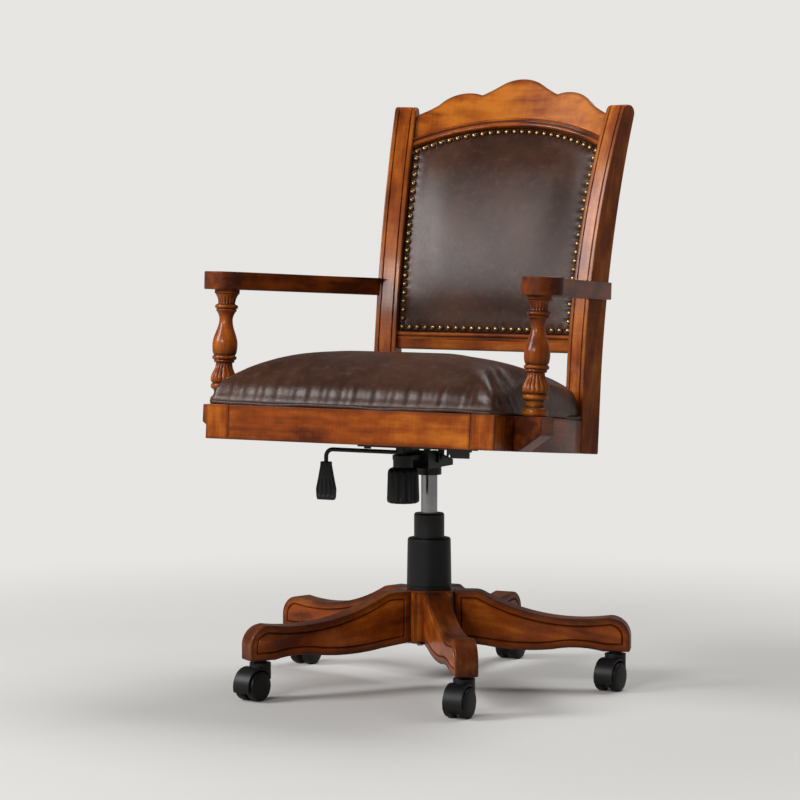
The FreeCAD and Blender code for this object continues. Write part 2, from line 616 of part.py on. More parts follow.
def make_seat_plate():
    """Pressed plate on the tilt pivot, with ears, side flanges and four screws into the battens."""
    half, under = "plate_width / 2", "-plate_thickness"
    pieces = [box((f"-{half}", half), ("plate_front", "plate_rear"), (under, "0"), SEAT)]
    screws = []
    flange_span = ("flange_front", "flange_rear")
    ear_outer = f"{EAR_INNER} + plate_thickness"
    ear_span = ("pivot_local_y - ear_length / 2", "pivot_local_y + ear_length / 2")
    for low, high in ((EAR_INNER, ear_outer), (f"-({ear_outer})", f"-{EAR_INNER}")):
        pieces.append(box((low, high), ear_span, ("-pivot_drop - ear_length / 2", under), SEAT))
    for low, high in ((f"{half} - plate_thickness", half), (f"-{half}", f"plate_thickness - {half}")):
        pieces.append(box((low, high), flange_span, (f"{under} - plate_flange", under), SEAT))
    for x in ("plate_screw_x", "-plate_screw_x"):
        for y in ("plate_front + batten_width / 2", "plate_rear - batten_width / 2"):
            shank = cylinder("plate_screw_diameter / 2", under, "plate_screw_length", x, y, placement=SEAT)
            head_bottom = f"{under} - screw_head_height"
            head = cylinder("plate_screw_diameter", head_bottom, under, x, y, placement=SEAT)
            screws.append(fuse(shank, head))
    pivot_hole = cylinder("pivot_diameter / 2 + running_gap", "-plate_width", "plate_width",
                          "pivot_local_y", "-pivot_drop", along="x", placement=SEAT)
    bolt_top = f"{PLATE_AT_BOLT} + bolt_diameter"
    bolt_hole = cylinder("bolt_diameter / 2 + bolt_gap", BOLT_END, bolt_top, "0", "bolt_y")
    node("seat_plate", cut(fuse(*pieces), pivot_hole, bolt_hole, *screws))
    node("plate_screws", group(*screws))
    return screws


# Seat frame, square to the rails: y runs back and z runs up from the bottom of the rails

SIDE_INSET = "(half_width - rear_half_width)"
SIDE_LENGTH = f"({POST_FORE} - side_straight_end)"
SIDE_RADIUS = f"(({SIDE_INSET}^2 + {SIDE_LENGTH}^2) / (2 * {SIDE_INSET}))"
CORNER_REAR = "(seat_front + corner_width)"


def side_x(y):
    """Half-width of the seat frame at a place on its bowed sides."""
    return f"(half_width - {SIDE_RADIUS} + sqrt({SIDE_RADIUS}^2 - ({y} - side_straight_end)^2))"


def make_seat_frame(screws, post, between_posts):
    """Rails, corner posts, battens and seat board."""
    post_side = "half_width - corner_width"
    height = ("0", "rail_height")
    corner = box((post_side, "half_width"), ("seat_front", CORNER_REAR), height, SEAT)
    node("corner_posts", group(corner, mirrored(corner)))
    front_span = ("seat_front", "seat_front + rail_thickness")
    node("front_rail", box((f"-({post_side})", post_side), front_span, height, SEAT))
    side = padded("XY_Plane", [
        ("half_width", CORNER_REAR),
        ("half_width", "side_straight_end", f"-{SIDE_RADIUS}"),
        ("rear_half_width", POST_FORE),
        ("rear_half_width", "post_front"),
        ("rear_half_width - rail_thickness", "post_front"),
        ("rear_half_width - rail_thickness", POST_FORE, f"{SIDE_RADIUS}"),
        ("half_width - rail_thickness", "side_straight_end"),
        ("half_width - rail_thickness", CORNER_REAR),
    ], "rail_height", midplane=False)
    pair("side_rail", cut(place(side, SEAT), post))
    rear_span = ("post_front + rear_rail_set_back", "post_front + rear_rail_set_back + rail_thickness")
    reach = "(post_inner + (rear_rail_set_back + rail_thickness) * tan(post_turn) + rail_tenon)"
    node("rear_rail", cut(box((f"-{reach}", reach), rear_span, height, SEAT), *between_posts))
    battens = []
    for front in ("plate_front", "(plate_rear - batten_width)"):
        rear_edge = f"({front} + batten_width)"
        reach = f"({side_x(rear_edge)} - rail_thickness - batten_end_gap)"
        batten = box((f"-{reach}", reach), (front, rear_edge), ("0", "rail_height - board_thickness"), SEAT)
        battens.append(cut(batten, *screws))
    node("mount_battens", group(*battens))
    front_reach = "half_width - rail_thickness - board_gap"
    rear_reach = "rear_half_width - rail_thickness - board_gap"
    board = padded("XY_Plane", [
        (f"-({front_reach})", f"{CORNER_REAR} + board_gap"),
        (front_reach, f"{CORNER_REAR} + board_gap"),
        (rear_reach, f"{POST_FORE} - board_gap"),
        (f"-({rear_reach})", f"{POST_FORE} - board_gap"),
    ], "board_thickness", midplane=False)
    node("seat_board", board, f"{SEAT} * {moved(z='rail_height - board_thickness')}")


# Crown of the cushion: share of its height, and share of how far its outline draws in
CUSHION_CROWN = ((0, 0.03), (0.1, 0.005), (0.24, 0), (0.4, 0.035), (0.58, 0.16), (0.74, 0.34), (0.87, 0.55),
                 (0.96, 0.775), (1, 1))


def cushion_wire(height, inset):
    """Outline of the cushion at one height: round front corners, bowed sides and a tail between the posts."""
    corner = number("cushion_corner")
    slack = corner * (1 - math.sqrt(0.5))
    side = number("half_width - cushion_inset") - inset
    front = number("seat_front + cushion_inset") + inset
    rear_side = number("rear_half_width - cushion_inset") - inset
    notch = number(f"{POST_FORE} - cushion_post_gap") - inset
    tail = number("post_inner - cushion_post_gap") - inset * number("cushion_tail_taper")
    rear = number("cushion_rear") - inset
    swell = (side + rear_side) / 2 + number(f"{SIDE_LENGTH}^2 / (8 * {SIDE_RADIUS})")

    def half(sign):
        """Edges of one side, from the front corner to the tail."""
        points = [(side - corner, front), (side - slack, front + slack), (side, front + corner),
                  (swell, (front + corner + notch) / 2), (rear_side, notch), (tail, notch), (tail, rear)]
        spots = [V(sign * x, y, height) for x, y in points]
        return [Part.Arc(*spots[0:3]), Part.Arc(*spots[2:5]),
                Part.LineSegment(*spots[4:6]), Part.LineSegment(*spots[5:7])]

    left, right = half(-1), half(1)
    closing = [Part.LineSegment(V(-tail, rear, height), V(tail, rear, height)),
               Part.LineSegment(V(corner - side, front, height), V(side - corner, front, height))]
    edges = right + closing[:1] + left[::-1] + closing[1:]
    return Part.Wire(Part.__sortEdges__([curve.toShape() for curve in edges]))


def make_cushion():
    """Crowned leather cushion on the rails."""
    base = number("rail_height + cushion_gap")
    height, draw_in = number("cushion_height"), number("cushion_draw_in")
    wires = [cushion_wire(base + rise * height, inset * draw_in) for rise, inset in CUSHION_CROWN]
    cushion = doc.addObject("Part::Feature", "cushion")
    cushion.Shape = Part.makeLoft(wires, True, False)
    node("seat_cushion", cushion, SEAT)


# Arms

ARM_MIDDLE = "(arm_bottom + arm_thickness / 2)"
POST_BACK_X = f"({inner_x(ARM_MIDDLE)} + post_width * cos(post_turn) + post_depth * sin(post_turn))"
POST_BACK_Y = f"({inner_y(ARM_MIDDLE)} - post_width * sin(post_turn) + post_depth * cos(post_turn))"
ARM_REAR_X = f"({POST_BACK_X} + arm_proud - arm_width)"
ARM_REAR_Y = f"({POST_BACK_Y} - arm_short)"
ARM_PAD_X = "(arm_post_x + arm_pad_shift)"
ARM_DX = f"({ARM_PAD_X} - {ARM_REAR_X})"
ARM_DY = f"({ARM_REAR_Y} - arm_post_y)"
ARM_LEAN = f"(atan({ARM_DX} / {ARM_DY}) - asin(arm_pad_radius / sqrt({ARM_DX}^2 + {ARM_DY}^2)))"


def turning(share):
    """Height on the turned arm post, as a share of its length."""
    return f"(rail_height + {share} * (arm_bottom - rail_height))"


def make_arm_post(arm):
    """Turned post: foot roll, bead, bell, ring, vase, ring, cove and cap, scribed to the arm."""
    ring, neck, cap = "turned_ring_radius - ring_rise", "turned_neck_radius", "turned_cap_radius"
    vase, waist = "turned_vase_radius", "turned_waist_radius"
    # Radius, share of the height, and how far the run that follows swells out (or draws in, with a minus)
    turns = [
        ("turned_foot_radius - foot_rise", 0, "foot_rise"),
        ("turned_foot_radius - foot_rise", 0.085, None),
        (neck, 0.115, None),
        (neck, 0.13, None),
        (ring, 0.14, "ring_rise"),
        (ring, 0.18, None),
        (ring, 0.19, "bulb_rise"),
        (f"{neck} + ring_rise / 2", 0.33, None),
        (neck, 0.345, "-hollow_rise"),
        (ring, 0.395, "ring_rise"),
        (ring, 0.43, None),
        (f"{vase} - vase_rise", 0.448, "vase_rise"),
        (f"{vase} - 1.4 * vase_rise", 0.63, "-hollow_rise"),
        (waist, 0.71, None),
        (waist, 0.75, "-hollow_rise"),
        (ring, 0.82, "ring_rise"),
        (ring, 0.87, None),
        (neck, 0.885, "-cove_rise"),
        (f"{cap} - ring_rise", 0.96, None),
        (cap, 0.965, None),
        (cap, 1, None),
    ]
    spots = [(radius, turning(share)) for radius, share, _ in turns]
    outline = [("0", "rail_height")]
    for spot, after, (_, _, rise) in zip(spots, spots[1:], turns):
        if rise is None:
            outline.append(spot)
        elif rise.startswith("-"):
            outline.append((*spot, run_radius(spot, after, rise[1:])))
        else:
            outline.append((*spot, "-" + run_radius(spot, after, rise)))
    outline += [(cap, ARM_MIDDLE), ("0", ARM_MIDDLE)]
    post = place(turned(outline), f"{SEAT} * {moved('arm_post_x', 'arm_post_y')}")
    pair("arm_post", cut(post, arm))


def make_arm_block():
    """Outrigger blocks on the side rails, under the arm posts."""
    outer = "half_width + block_width"
    block = padded("XZ_Plane", [
        ("half_width", "0"),
        (f"{outer} - block_chamfer_width", "0"),
        (outer, "block_chamfer_height"),
        (outer, "rail_height"),
        ("half_width", "rail_height"),
    ], "block_length")
    place(block, f"{SEAT} * {moved('0', 'arm_post_y')}")
    node("arm_blocks", group(block, mirrored(block)))


def make_arm(post):
    """Flat arm with a round pad over its post, notched outside and lapped on the back post."""
    side, fore = f"cos({ARM_LEAN})", f"sin({ARM_LEAN})"
    spare = "(arm_width - arm_pad_radius)"
    notch = ("arm_pad_radius * cos(arm_notch_angle)", "arm_pad_radius * sin(arm_notch_angle)")
    arm = padded("XY_Plane", [
        (f"-arm_pad_radius * {side}", f"-arm_pad_radius * {fore}", "-arm_pad_radius"),
        ("0", "-arm_pad_radius", "-arm_pad_radius"),
        (*notch, "arm_notch_radius"),
        (f"{spare} * {side} - arm_notch_run * {fore}", f"{spare} * {fore} + arm_notch_run * {side}"),
        (f"arm_width * {side} - {ARM_DX}", f"{ARM_DY} + arm_width * {fore}"),
        (f"-{ARM_DX}", ARM_DY),
    ], "arm_thickness", midplane=False)
    place(arm, f"{SEAT} * {moved(ARM_PAD_X, 'arm_post_y', 'arm_bottom', (1, 0, 0), 'arm_tilt')}")
    pair("arm", cut(arm, place(group(post), moved("arm_fit", "-arm_fit"))))
    return arm


# Back

def make_back_post():
    """Back post: a plank that stands square to the seat, then sweeps back and tapers to its rounded top."""
    top_rear = "(post_sweep + post_top_depth)"
    rear_sweep = f"({top_rear} - post_depth)"
    rear_radius = f"(({rear_sweep}^2 + (post_height - post_rear_bend)^2) / (2 * {rear_sweep}))"
    post = padded("YZ_Plane", [
        ("0", "0"),
        ("post_depth", "0"),
        ("post_depth", "post_rear_bend", rear_radius),
        (top_rear, "post_height"),
        ("post_sweep", "post_height", f"-{POST_RADIUS}"),
        ("0", "post_bend"),
    ], "post_width", midplane=False)

    def lies_on_top(edge):
        """Whether an edge crosses the top of the post."""
        level = all(abs(corner.Z - number("post_height")) < 1e-6 for corner in edge.Vertexes)
        return level and abs(edge.Vertexes[0].X - edge.Vertexes[-1].X) > 1

    round_edges(post, "post_top_radius", lies_on_top)
    place(post, f"{SEAT} * {moved('post_inner', 'post_front', '0', angle='-post_turn')}")
    pair("back_post", post)
    return post


def spread(post, gap):
    """Both back posts, moved towards each other by a gap, to cut what fits between them."""
    right = place(group(post), moved(f"-{gap}"))
    return right, mirrored(right)


def arch_radius_of(reach, rise):
    """Radius of an arc from its half chord and its rise."""
    return f"(({reach}^2 + ({rise})^2) / (2 * ({rise})))"


ARCH_REACH = f"({inner_x('crest_spring')} + back_set_back * tan(post_turn) - back_fit)"
ARCH_RADIUS = arch_radius_of(ARCH_REACH, "arch_rise")
BOW_RADIUS = arch_radius_of(ARCH_REACH, "back_bow")


def make_crest(posts):
    """Shaped crest rail, bowed to the rear between the posts, with an arched lower edge."""
    wide = f"({inner_x('post_height')} + rail_tenon)"
    corner, shoulder = (wide, "crest_end"), ("shoulder_x", "shoulder_height")
    hump, valley, brow = ("hump_x", "hump_height"), ("valley_x", "valley_height"), ("brow_x", "brow_height")
    hollow = run_radius(corner, shoulder, "shoulder_dip")
    swell = "-" + run_radius(shoulder, hump, "shoulder_rise")
    roll = "-" + run_radius(hump, valley, "hump_rise")
    dip = run_radius(valley, brow, "brow_dip")
    apex = "-" + arch_radius_of("brow_x", "crest_height - brow_height")
    face = padded("XZ_Plane", [
        (ARCH_REACH, "0"),
        (wide, "0"),
        (*corner, hollow),
        (*shoulder, swell),
        (*hump, roll),
        (*valley, dip),
        (*brow, apex),
        ("-brow_x", "brow_height", dip),
        ("-valley_x", "valley_height", roll),
        ("-hump_x", "hump_height", swell),
        ("-shoulder_x", "shoulder_height", hollow),
        (f"-{wide}", "crest_end"),
        (f"-{wide}", "0"),
        (f"-{ARCH_REACH}", "0", ARCH_RADIUS),
    ], "4 * (back_bow + rail_depth)")
    edge = f"(back_bow - {BOW_RADIUS} + sqrt({BOW_RADIUS}^2 - {wide}^2))"
    slab = padded("XY_Plane", [
        (f"-{wide}", edge, BOW_RADIUS),
        (wide, edge),
        (wide, f"{edge} + rail_depth", f"-{BOW_RADIUS}"),
        (f"-{wide}", f"{edge} + rail_depth"),
    ], "2 * crest_height", midplane=False)
    node("crest_rail", cut(place(common(face, slab), CREST), *posts))


def make_lower_rail(posts):
    """Straight rail under the back pad."""
    top = "(lower_rail_bottom + lower_rail_height)"
    front = f"({inner_y(top)} + back_set_back)"
    reach = f"({inner_x(top)} + back_set_back * tan(post_turn) + rail_tenon)"
    rail = box((f"-{reach}", reach), (front, f"{front} + rail_depth"), ("lower_rail_bottom", top), SEAT)
    node("lower_back_rail", cut(rail, *posts))


class BackPanel:
    """Curved opening of the back, straight at the lower rail and bowed at the crest."""

    def __init__(self):
        self.low = number("lower_rail_bottom + lower_rail_height + pad_gap")
        self.spring = number("crest_spring")
        self.rise = number("arch_rise - pad_gap")
        self.arch = number(ARCH_RADIUS)
        self.bow = number("back_bow")
        self.bow_radius = number(BOW_RADIUS)
        self.lean = math.radians(number("crest_lean"))
        self.turn = math.radians(number("post_turn"))
        self.set_back = number("back_set_back")
        self.high = self.level(self.rise, self.bow)

    def level(self, rise, depth):
        """Height of a place in the plane of the crest, from its rise over the spring and its depth."""
        return self.spring + rise * math.cos(self.lean) - depth * math.sin(self.lean)

    def reach(self, height, depth):
        """Half-width of the panel at a height and a depth."""
        behind = (self.set_back + depth) * math.tan(self.turn)
        return number(inner_x(height)) + behind - number("pad_gap + back_fit")

    def edge(self, height):
        """Depth of the panel's sides at a height."""
        return number(inner_y(height)) + self.set_back

    def share(self, height):
        """How far up the panel a height is, from 0 to 1."""
        return (height - self.low) / (self.high - self.low)

    def arch_rise(self, x):
        """Rise of the arched top edge over the spring."""
        return self.rise - self.arch + math.sqrt(self.arch ** 2 - x ** 2)

    def bow_depth(self, x):
        """Depth of the crest's face at a place across it."""
        return self.bow - self.bow_radius + math.sqrt(self.bow_radius ** 2 - x ** 2)

    def sag(self, height, crown):
        """How far the middle of the panel lies behind its edges at a height."""
        share = self.share(height)
        return self.bow / math.cos(self.lean) * share - crown * 4 * share * (1 - share) + number("pad_gap")

    def section(self, height, front, rear, crown):
        """Closed outline of a panel at one height, with an arc in front and one behind."""
        edge = self.edge(height)
        front_reach, rear_reach = self.reach(height, front), self.reach(height, rear)
        middle_front = edge + front + self.sag(height, crown)
        middle_rear = edge + rear + self.sag(height, 0)
        places = ((-front_reach, front), (front_reach, front), (rear_reach, rear), (-rear_reach, rear))
        corners = [V(x, edge + depth, height) for x, depth in places]
        edges = [
            Part.Arc(corners[0], V(0, middle_front, height), corners[1]),
            Part.LineSegment(corners[1], corners[2]),
            Part.Arc(corners[2], V(0, middle_rear, height), corners[3]),
            Part.LineSegment(corners[3], corners[0]),
        ]
        return Part.Wire([edge.toShape() for edge in edges])

    def solid(self, front, rear, crown):
        """Curved panel, trimmed to the arch."""
        steps = 6
        heights = [self.low + (self.high - self.low) * step / steps for step in range(steps + 1)]
        block = Part.makeLoft([self.section(height, front, rear, crown) for height in heights], True, False)
        depth = 4 * (self.bow + rear)
        wide = self.reach(self.spring, rear)
        left, right = [V(x, -depth, self.arch_rise(x)) for x in (-wide, wide)]
        low_left, low_right = [V(x, -depth, -2 * self.spring) for x in (-wide, wide)]
        edges = [
            Part.LineSegment(low_left, low_right),
            Part.LineSegment(low_right, right),
            Part.Arc(right, V(0, -depth, self.rise), left),
            Part.LineSegment(left, low_left),
        ]
        under_arch = Part.Face(Part.Wire([edge.toShape() for edge in edges])).extrude(V(0, 2 * depth, 0))
        tilt = FreeCAD.Rotation(V(1, 0, 0), -math.degrees(self.lean))
        under_arch.Placement = FreeCAD.Placement(V(0, self.edge(self.spring), self.spring), tilt)
        return block.common(under_arch)

    def front_at(self, x, height, front, crown):
        """Depth of the front surface at a place on the panel."""
        sag = self.sag(height, crown)
        reach = self.reach(height, front)
        radius = (reach ** 2 + sag ** 2) / (2 * sag)
        dip = math.copysign(abs(radius) - math.sqrt(radius ** 2 - x ** 2), radius)
        return self.edge(height) + front + sag - dip

    def facing_at(self, x, height, front, crown, span):
        """Direction square to the front surface, from its slopes over a span."""
        across = self.front_at(x + span, height, front, crown) - self.front_at(x - span, height, front, crown)
        along = self.front_at(x, height + span, front, crown) - self.front_at(x, height - span, front, crown)
        return V(across / (2 * span), -1, along / (2 * span)).normalize()


def nail_spots(panel, front):
    """Places (x, height) of the nails round the edge of the pad."""
    inset = number("nail_inset")
    pitch = number("nail_pitch")
    low = panel.low + inset
    corner_x = panel.reach(panel.spring, front) - inset
    top = panel.level(panel.arch_rise(corner_x) - inset, front)
    spots = []
    low_x = panel.reach(low, front) - inset
    across = round(2 * low_x / pitch)
    spots += [(-low_x + 2 * low_x * step / across, low) for step in range(across + 1)]
    up = round((top - low) / pitch)
    for step in range(1, up):
        height = low + (top - low) * step / up
        spots += [(side * (panel.reach(height, front) - inset), height) for side in (-1, 1)]
    radius = panel.arch - inset
    turn = math.asin(corner_x / radius)
    over = round(2 * turn * radius / pitch)
    for step in range(over + 1):
        angle = turn * (2 * step / over - 1)
        x, rise = radius * math.sin(angle), panel.rise - panel.arch + radius * math.cos(angle)
        spots.append((x, panel.level(rise, panel.bow_depth(x) + front)))
    return spots


def make_upholstered_back():
    """Leather pad, rear panel and the nails round the pad."""
    panel = BackPanel()
    front = number("pad_recess")
    rear = front + number("pad_depth")
    crown = number("pad_crown")
    pad = doc.addObject("Part::Feature", "pad")
    pad.Shape = panel.solid(front, rear, crown)
    node("back_pad", pad, SEAT)
    behind = rear + number("pad_gap")
    sheet_panel = doc.addObject("Part::Feature", "rear_sheet")
    sheet_panel.Shape = panel.solid(behind, behind + number("panel_thickness"), 0)
    node("rear_panel", sheet_panel, SEAT)
    base, height = number("nail_diameter / 2"), number("nail_height")
    radius = (base ** 2 + height ** 2) / (2 * height)
    latitude = math.degrees(math.asin((radius - height) / radius))
    domes = []
    for x, level in nail_spots(panel, front):
        facing = panel.facing_at(x, level, front, crown, base / 2)
        seat = V(x, panel.front_at(x, level, front, crown), level) + facing * number("nail_gap")
        domes.append(Part.makeSphere(radius, seat - facing * (radius - height), facing, latitude, 90, 360))
    nails = doc.addObject("Part::Feature", "nails")
    nails.Shape = Part.makeCompound(domes)
    node("nail_heads", nails, SEAT)


# Assembly

for leg in range(LEGS):
    make_leg(leg)
    make_castor_frame(leg)
    make_castor_wheel(leg, "right", "90")
    make_castor_wheel(leg, "left", "-90")
node("castor_sockets", group(*[make_socket(leg) for leg in range(LEGS)]))
make_hub()
make_column()
make_lift()
make_housing()
make_lever()
make_tension()
back_post = make_back_post()
between_posts = spread(back_post, "back_fit")
make_seat_frame(make_seat_plate(), back_post, between_posts)
make_cushion()
make_arm_block()
make_arm_post(make_arm(back_post))
make_crest(between_posts)
make_lower_rail(between_posts)
make_upholstered_back()
doc.recompute()

faults = [thing.Label for thing in doc.Objects if {"Invalid", "Error"} & set(thing.State)]
faults += [name for name, thing in nodes.items() if thing.Shape.isNull() or not thing.Shape.isValid()]
if faults:
    raise SystemExit(f"failed objects: {faults}")
os.makedirs("parts", exist_ok=True)
for name, thing in nodes.items():
    thing.Shape.exportStep(f"parts/{name}.step")
print(f"{len(nodes)} nodes written")
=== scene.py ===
"""Swivel armchair on a five-leg castor base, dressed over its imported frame.

Every length is in metres. The frame has +Z up and the floor at zero, and the chair faces -Y.
"""
import logging
import math
from collections.abc import Callable, Iterator, Sequence
from contextlib import contextmanager
from dataclasses import dataclass, field
from enum import Enum
from typing import Any

import bmesh
import bpy
import numpy as np
from mathutils import Matrix, Vector


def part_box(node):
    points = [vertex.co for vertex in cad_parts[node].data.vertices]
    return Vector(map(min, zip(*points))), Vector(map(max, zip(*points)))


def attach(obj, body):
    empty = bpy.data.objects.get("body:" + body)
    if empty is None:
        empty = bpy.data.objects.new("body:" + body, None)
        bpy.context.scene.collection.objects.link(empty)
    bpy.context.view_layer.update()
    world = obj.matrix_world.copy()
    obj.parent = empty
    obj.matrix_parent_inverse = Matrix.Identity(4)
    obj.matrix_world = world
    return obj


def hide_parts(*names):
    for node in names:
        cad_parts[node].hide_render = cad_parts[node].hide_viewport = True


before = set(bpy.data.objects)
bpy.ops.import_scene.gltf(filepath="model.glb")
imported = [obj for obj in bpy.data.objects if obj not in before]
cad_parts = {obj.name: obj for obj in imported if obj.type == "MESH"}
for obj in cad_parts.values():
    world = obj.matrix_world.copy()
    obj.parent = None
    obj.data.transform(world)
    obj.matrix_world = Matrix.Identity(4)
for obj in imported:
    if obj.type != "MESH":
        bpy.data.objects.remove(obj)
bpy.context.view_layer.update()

LOG = logging.getLogger("armchair")
MM = 0.001

Colour = tuple[float, float, float, float]
Test = Callable[[Any], bool]
Point = tuple[float, float, float]


def shade(red: int, green: int, blue: int) -> Colour:
    """Scene colour of a display colour.

    Args:
        red: Display red, 0 to 255.
        green: Display green, 0 to 255.
        blue: Display blue, 0 to 255.

    Returns:
        The linear colour with full alpha.
    """
    parts = [value / 255 for value in (red, green, blue)]
    linear = [part / 12.92 if part < 0.04045 else ((part + 0.055) / 1.055) ** 2.4 for part in parts]
    return (linear[0], linear[1], linear[2], 1.0)


class Flow(Enum):
    """How a turned outline runs from one row to the next."""

    STRAIGHT = "straight"
    SWELL = "swell"
    FALL = "fall"
    WAVE = "wave"
    FLARE = "flare"

    def share(self, part: float) -> float:
        """Share of the way across at a share of the way up.

        Args:
            part: Share of the way up, 0 to 1.

        Returns:
            The share of the way across.
        """
        if self is Flow.SWELL:
            return math.sqrt(1 - (1 - part) ** 2)
        if self is Flow.FALL:
            return 1 - math.sqrt(1 - part ** 2)
        if self is Flow.WAVE:
            return 0.5 - 0.5 * math.cos(math.pi * part)
        return part ** 2 if self is Flow.FLARE else part


class Side(Enum):
    """Side of the chair, as the sitter faces -Y, with its sign along X."""

    LEFT = -1
    RIGHT = 1

    @property
    def word(self) -> str:
        """Name of the side as the nodes spell it."""
        return self.name.lower()


# Shader canvas


class Signal:
    """Socket of a shader that can be used in sums."""

    def __init__(self, canvas: "Canvas", socket: bpy.types.NodeSocket) -> None:
        """Wraps a socket.

        Args:
            canvas: Shader that the socket belongs to.
            socket: Output socket.
        """
        self.canvas = canvas
        self.socket = socket

    def _sum(self, operation: str, first: Any, second: Any) -> "Signal":
        """Adds one Math node."""
        return self.canvas.add("ShaderNodeMath", {"operation": operation}, {0: first, 1: second})

    def __add__(self, other: Any) -> "Signal":
        """Sum."""
        return self._sum("ADD", self, other)

    def __radd__(self, other: Any) -> "Signal":
        """Sum, reflected."""
        return self._sum("ADD", other, self)

    def __sub__(self, other: Any) -> "Signal":
        """Difference."""
        return self._sum("SUBTRACT", self, other)

    def __rsub__(self, other: Any) -> "Signal":
        """Difference, reflected."""
        return self._sum("SUBTRACT", other, self)

    def __mul__(self, other: Any) -> "Signal":
        """Product."""
        return self._sum("MULTIPLY", self, other)

    def __rmul__(self, other: Any) -> "Signal":
        """Product, reflected."""
        return self._sum("MULTIPLY", other, self)

    def __truediv__(self, other: Any) -> "Signal":
        """Quotient."""
        return self._sum("DIVIDE", self, other)

    def __rtruediv__(self, other: Any) -> "Signal":
        """Quotient, reflected."""
        return self._sum("DIVIDE", other, self)

    def __pow__(self, other: Any) -> "Signal":
        """Power."""
        return self._sum("POWER", self, other)

    def clamped(self) -> "Signal":
        """Value held between 0 and 1."""
        return self.canvas.add("ShaderNodeClamp", {}, {0: self})

    def spread(self, low: float, high: float, start: float = 0.0, end: float = 1.0) -> "Signal":
        """Smooth step from one range to another.

        Args:
            low: Value that gives start.
            high: Value that gives end.
            start: Result at and below low.
            end: Result at and above high.

        Returns:
            The stepped value.
        """
        settings = {"interpolation_type": "SMOOTHSTEP"}
        return self.canvas.add("ShaderNodeMapRange", settings, {0: self, 1: low, 2: high, 3: start, 4: end})

    def stretched(self, x: float, y: float, z: float) -> "Signal":
        """Coordinates scaled along each axis."""
        return self.canvas.add("ShaderNodeVectorMath", {"operation": "MULTIPLY"}, {0: self, 1: (x, y, z)})


class Canvas:
    """Procedural material or world with one shader."""

    MIX_FACTOR, MIX_A, MIX_B, MIX_RESULT = 0, 6, 7, 2
    SHADERS = ("BSDF_PRINCIPLED", "BACKGROUND")

    def __init__(self, name: str, kind: str = "materials") -> None:
        """Starts an empty material or world.

        Args:
            name: Its name.
            kind: "materials" or "worlds".
        """
        self.owner = getattr(bpy.data, kind).new(name)
        self.owner.use_nodes = True
        self.nodes = self.owner.node_tree.nodes
        self.links = self.owner.node_tree.links
        self.shader = next(node for node in self.nodes if node.type in self.SHADERS)

    def feed(self, socket: bpy.types.NodeSocket, value: Any) -> None:
        """Links a signal to a socket, or sets its value."""
        if isinstance(value, Signal):
            self.links.new(value.socket, socket)
        else:
            socket.default_value = value

    def add(self, kind: str, settings: dict[str, Any], sockets: dict[Any, Any], output: Any = 0) -> Signal:
        """Adds one node.

        Args:
            kind: Node type.
            settings: Properties of the node, set first. "stops" sets a ramp's (place, colour) stops.
            sockets: Values or signals by socket name or number.
            output: Name or number of the output.

        Returns:
            The chosen output.
        """
        node = self.nodes.new(kind)
        for name, value in settings.items():
            if name == "stops":
                self._set_stops(node, value)
            else:
                setattr(node, name, value)
        for name, value in sockets.items():
            self.feed(node.inputs[name], value)
        return Signal(self, node.outputs[output])

    @staticmethod
    def _set_stops(node: bpy.types.Node, stops: Sequence[tuple[float, Colour]]) -> None:
        """Sets the stops of a colour ramp."""
        elements = node.color_ramp.elements
        while len(elements) < len(stops):
            elements.new(0.5)
        for element, (place, colour) in zip(elements, stops):
            element.position = place
            element.color = colour

    def place(self) -> Signal:
        """Object coordinates."""
        return self.add("ShaderNodeTexCoord", {}, {}, "Object")

    def trait(self, name: str, output: str = "Fac") -> Signal:
        """Attribute of the piece's own mesh."""
        return self.add("ShaderNodeAttribute", {"attribute_name": name}, {}, output)

    def noise(self, place: Signal, scale: float, detail: float = 2.0, rough: float = 0.5) -> Signal:
        """Cloudy value from 0 to 1.

        Args:
            place: Coordinates.
            scale: Clouds per metre, about.
            detail: Octaves.
            rough: Strength of the finer octaves.

        Returns:
            The value.
        """
        sockets = {"Vector": place, "Scale": scale, "Detail": detail, "Roughness": rough}
        return self.add("ShaderNodeTexNoise", {}, sockets, 0)

    def blend(self, share: Any, first: Any, second: Any, kind: str = "MIX") -> Signal:
        """Mixes two colours."""
        sockets = {self.MIX_FACTOR: share, self.MIX_A: first, self.MIX_B: second}
        settings = {"data_type": "RGBA", "blend_type": kind}
        return self.add("ShaderNodeMix", settings, sockets, self.MIX_RESULT)

    def bump(self, height: Signal, strength: float, reach: float) -> Signal:
        """Normal from a height."""
        sockets = {"Strength": strength, "Distance": reach, "Height": height}
        return self.add("ShaderNodeBump", {}, sockets, 0)

    def ray(self, kind: str) -> Signal:
        """Whether a ray is of a kind."""
        return self.add("ShaderNodeLightPath", {}, {}, f"Is {kind} Ray")

    def finish(self, **sockets: Any) -> bpy.types.ID:
        """Feeds the shader.

        Args:
            sockets: Values or signals by socket name, with its spaces as underscores.

        Returns:
            The material or world.
        """
        for name, value in sockets.items():
            self.feed(self.shader.inputs[name.replace("_", " ")], value)
        return self.owner


# Finishes


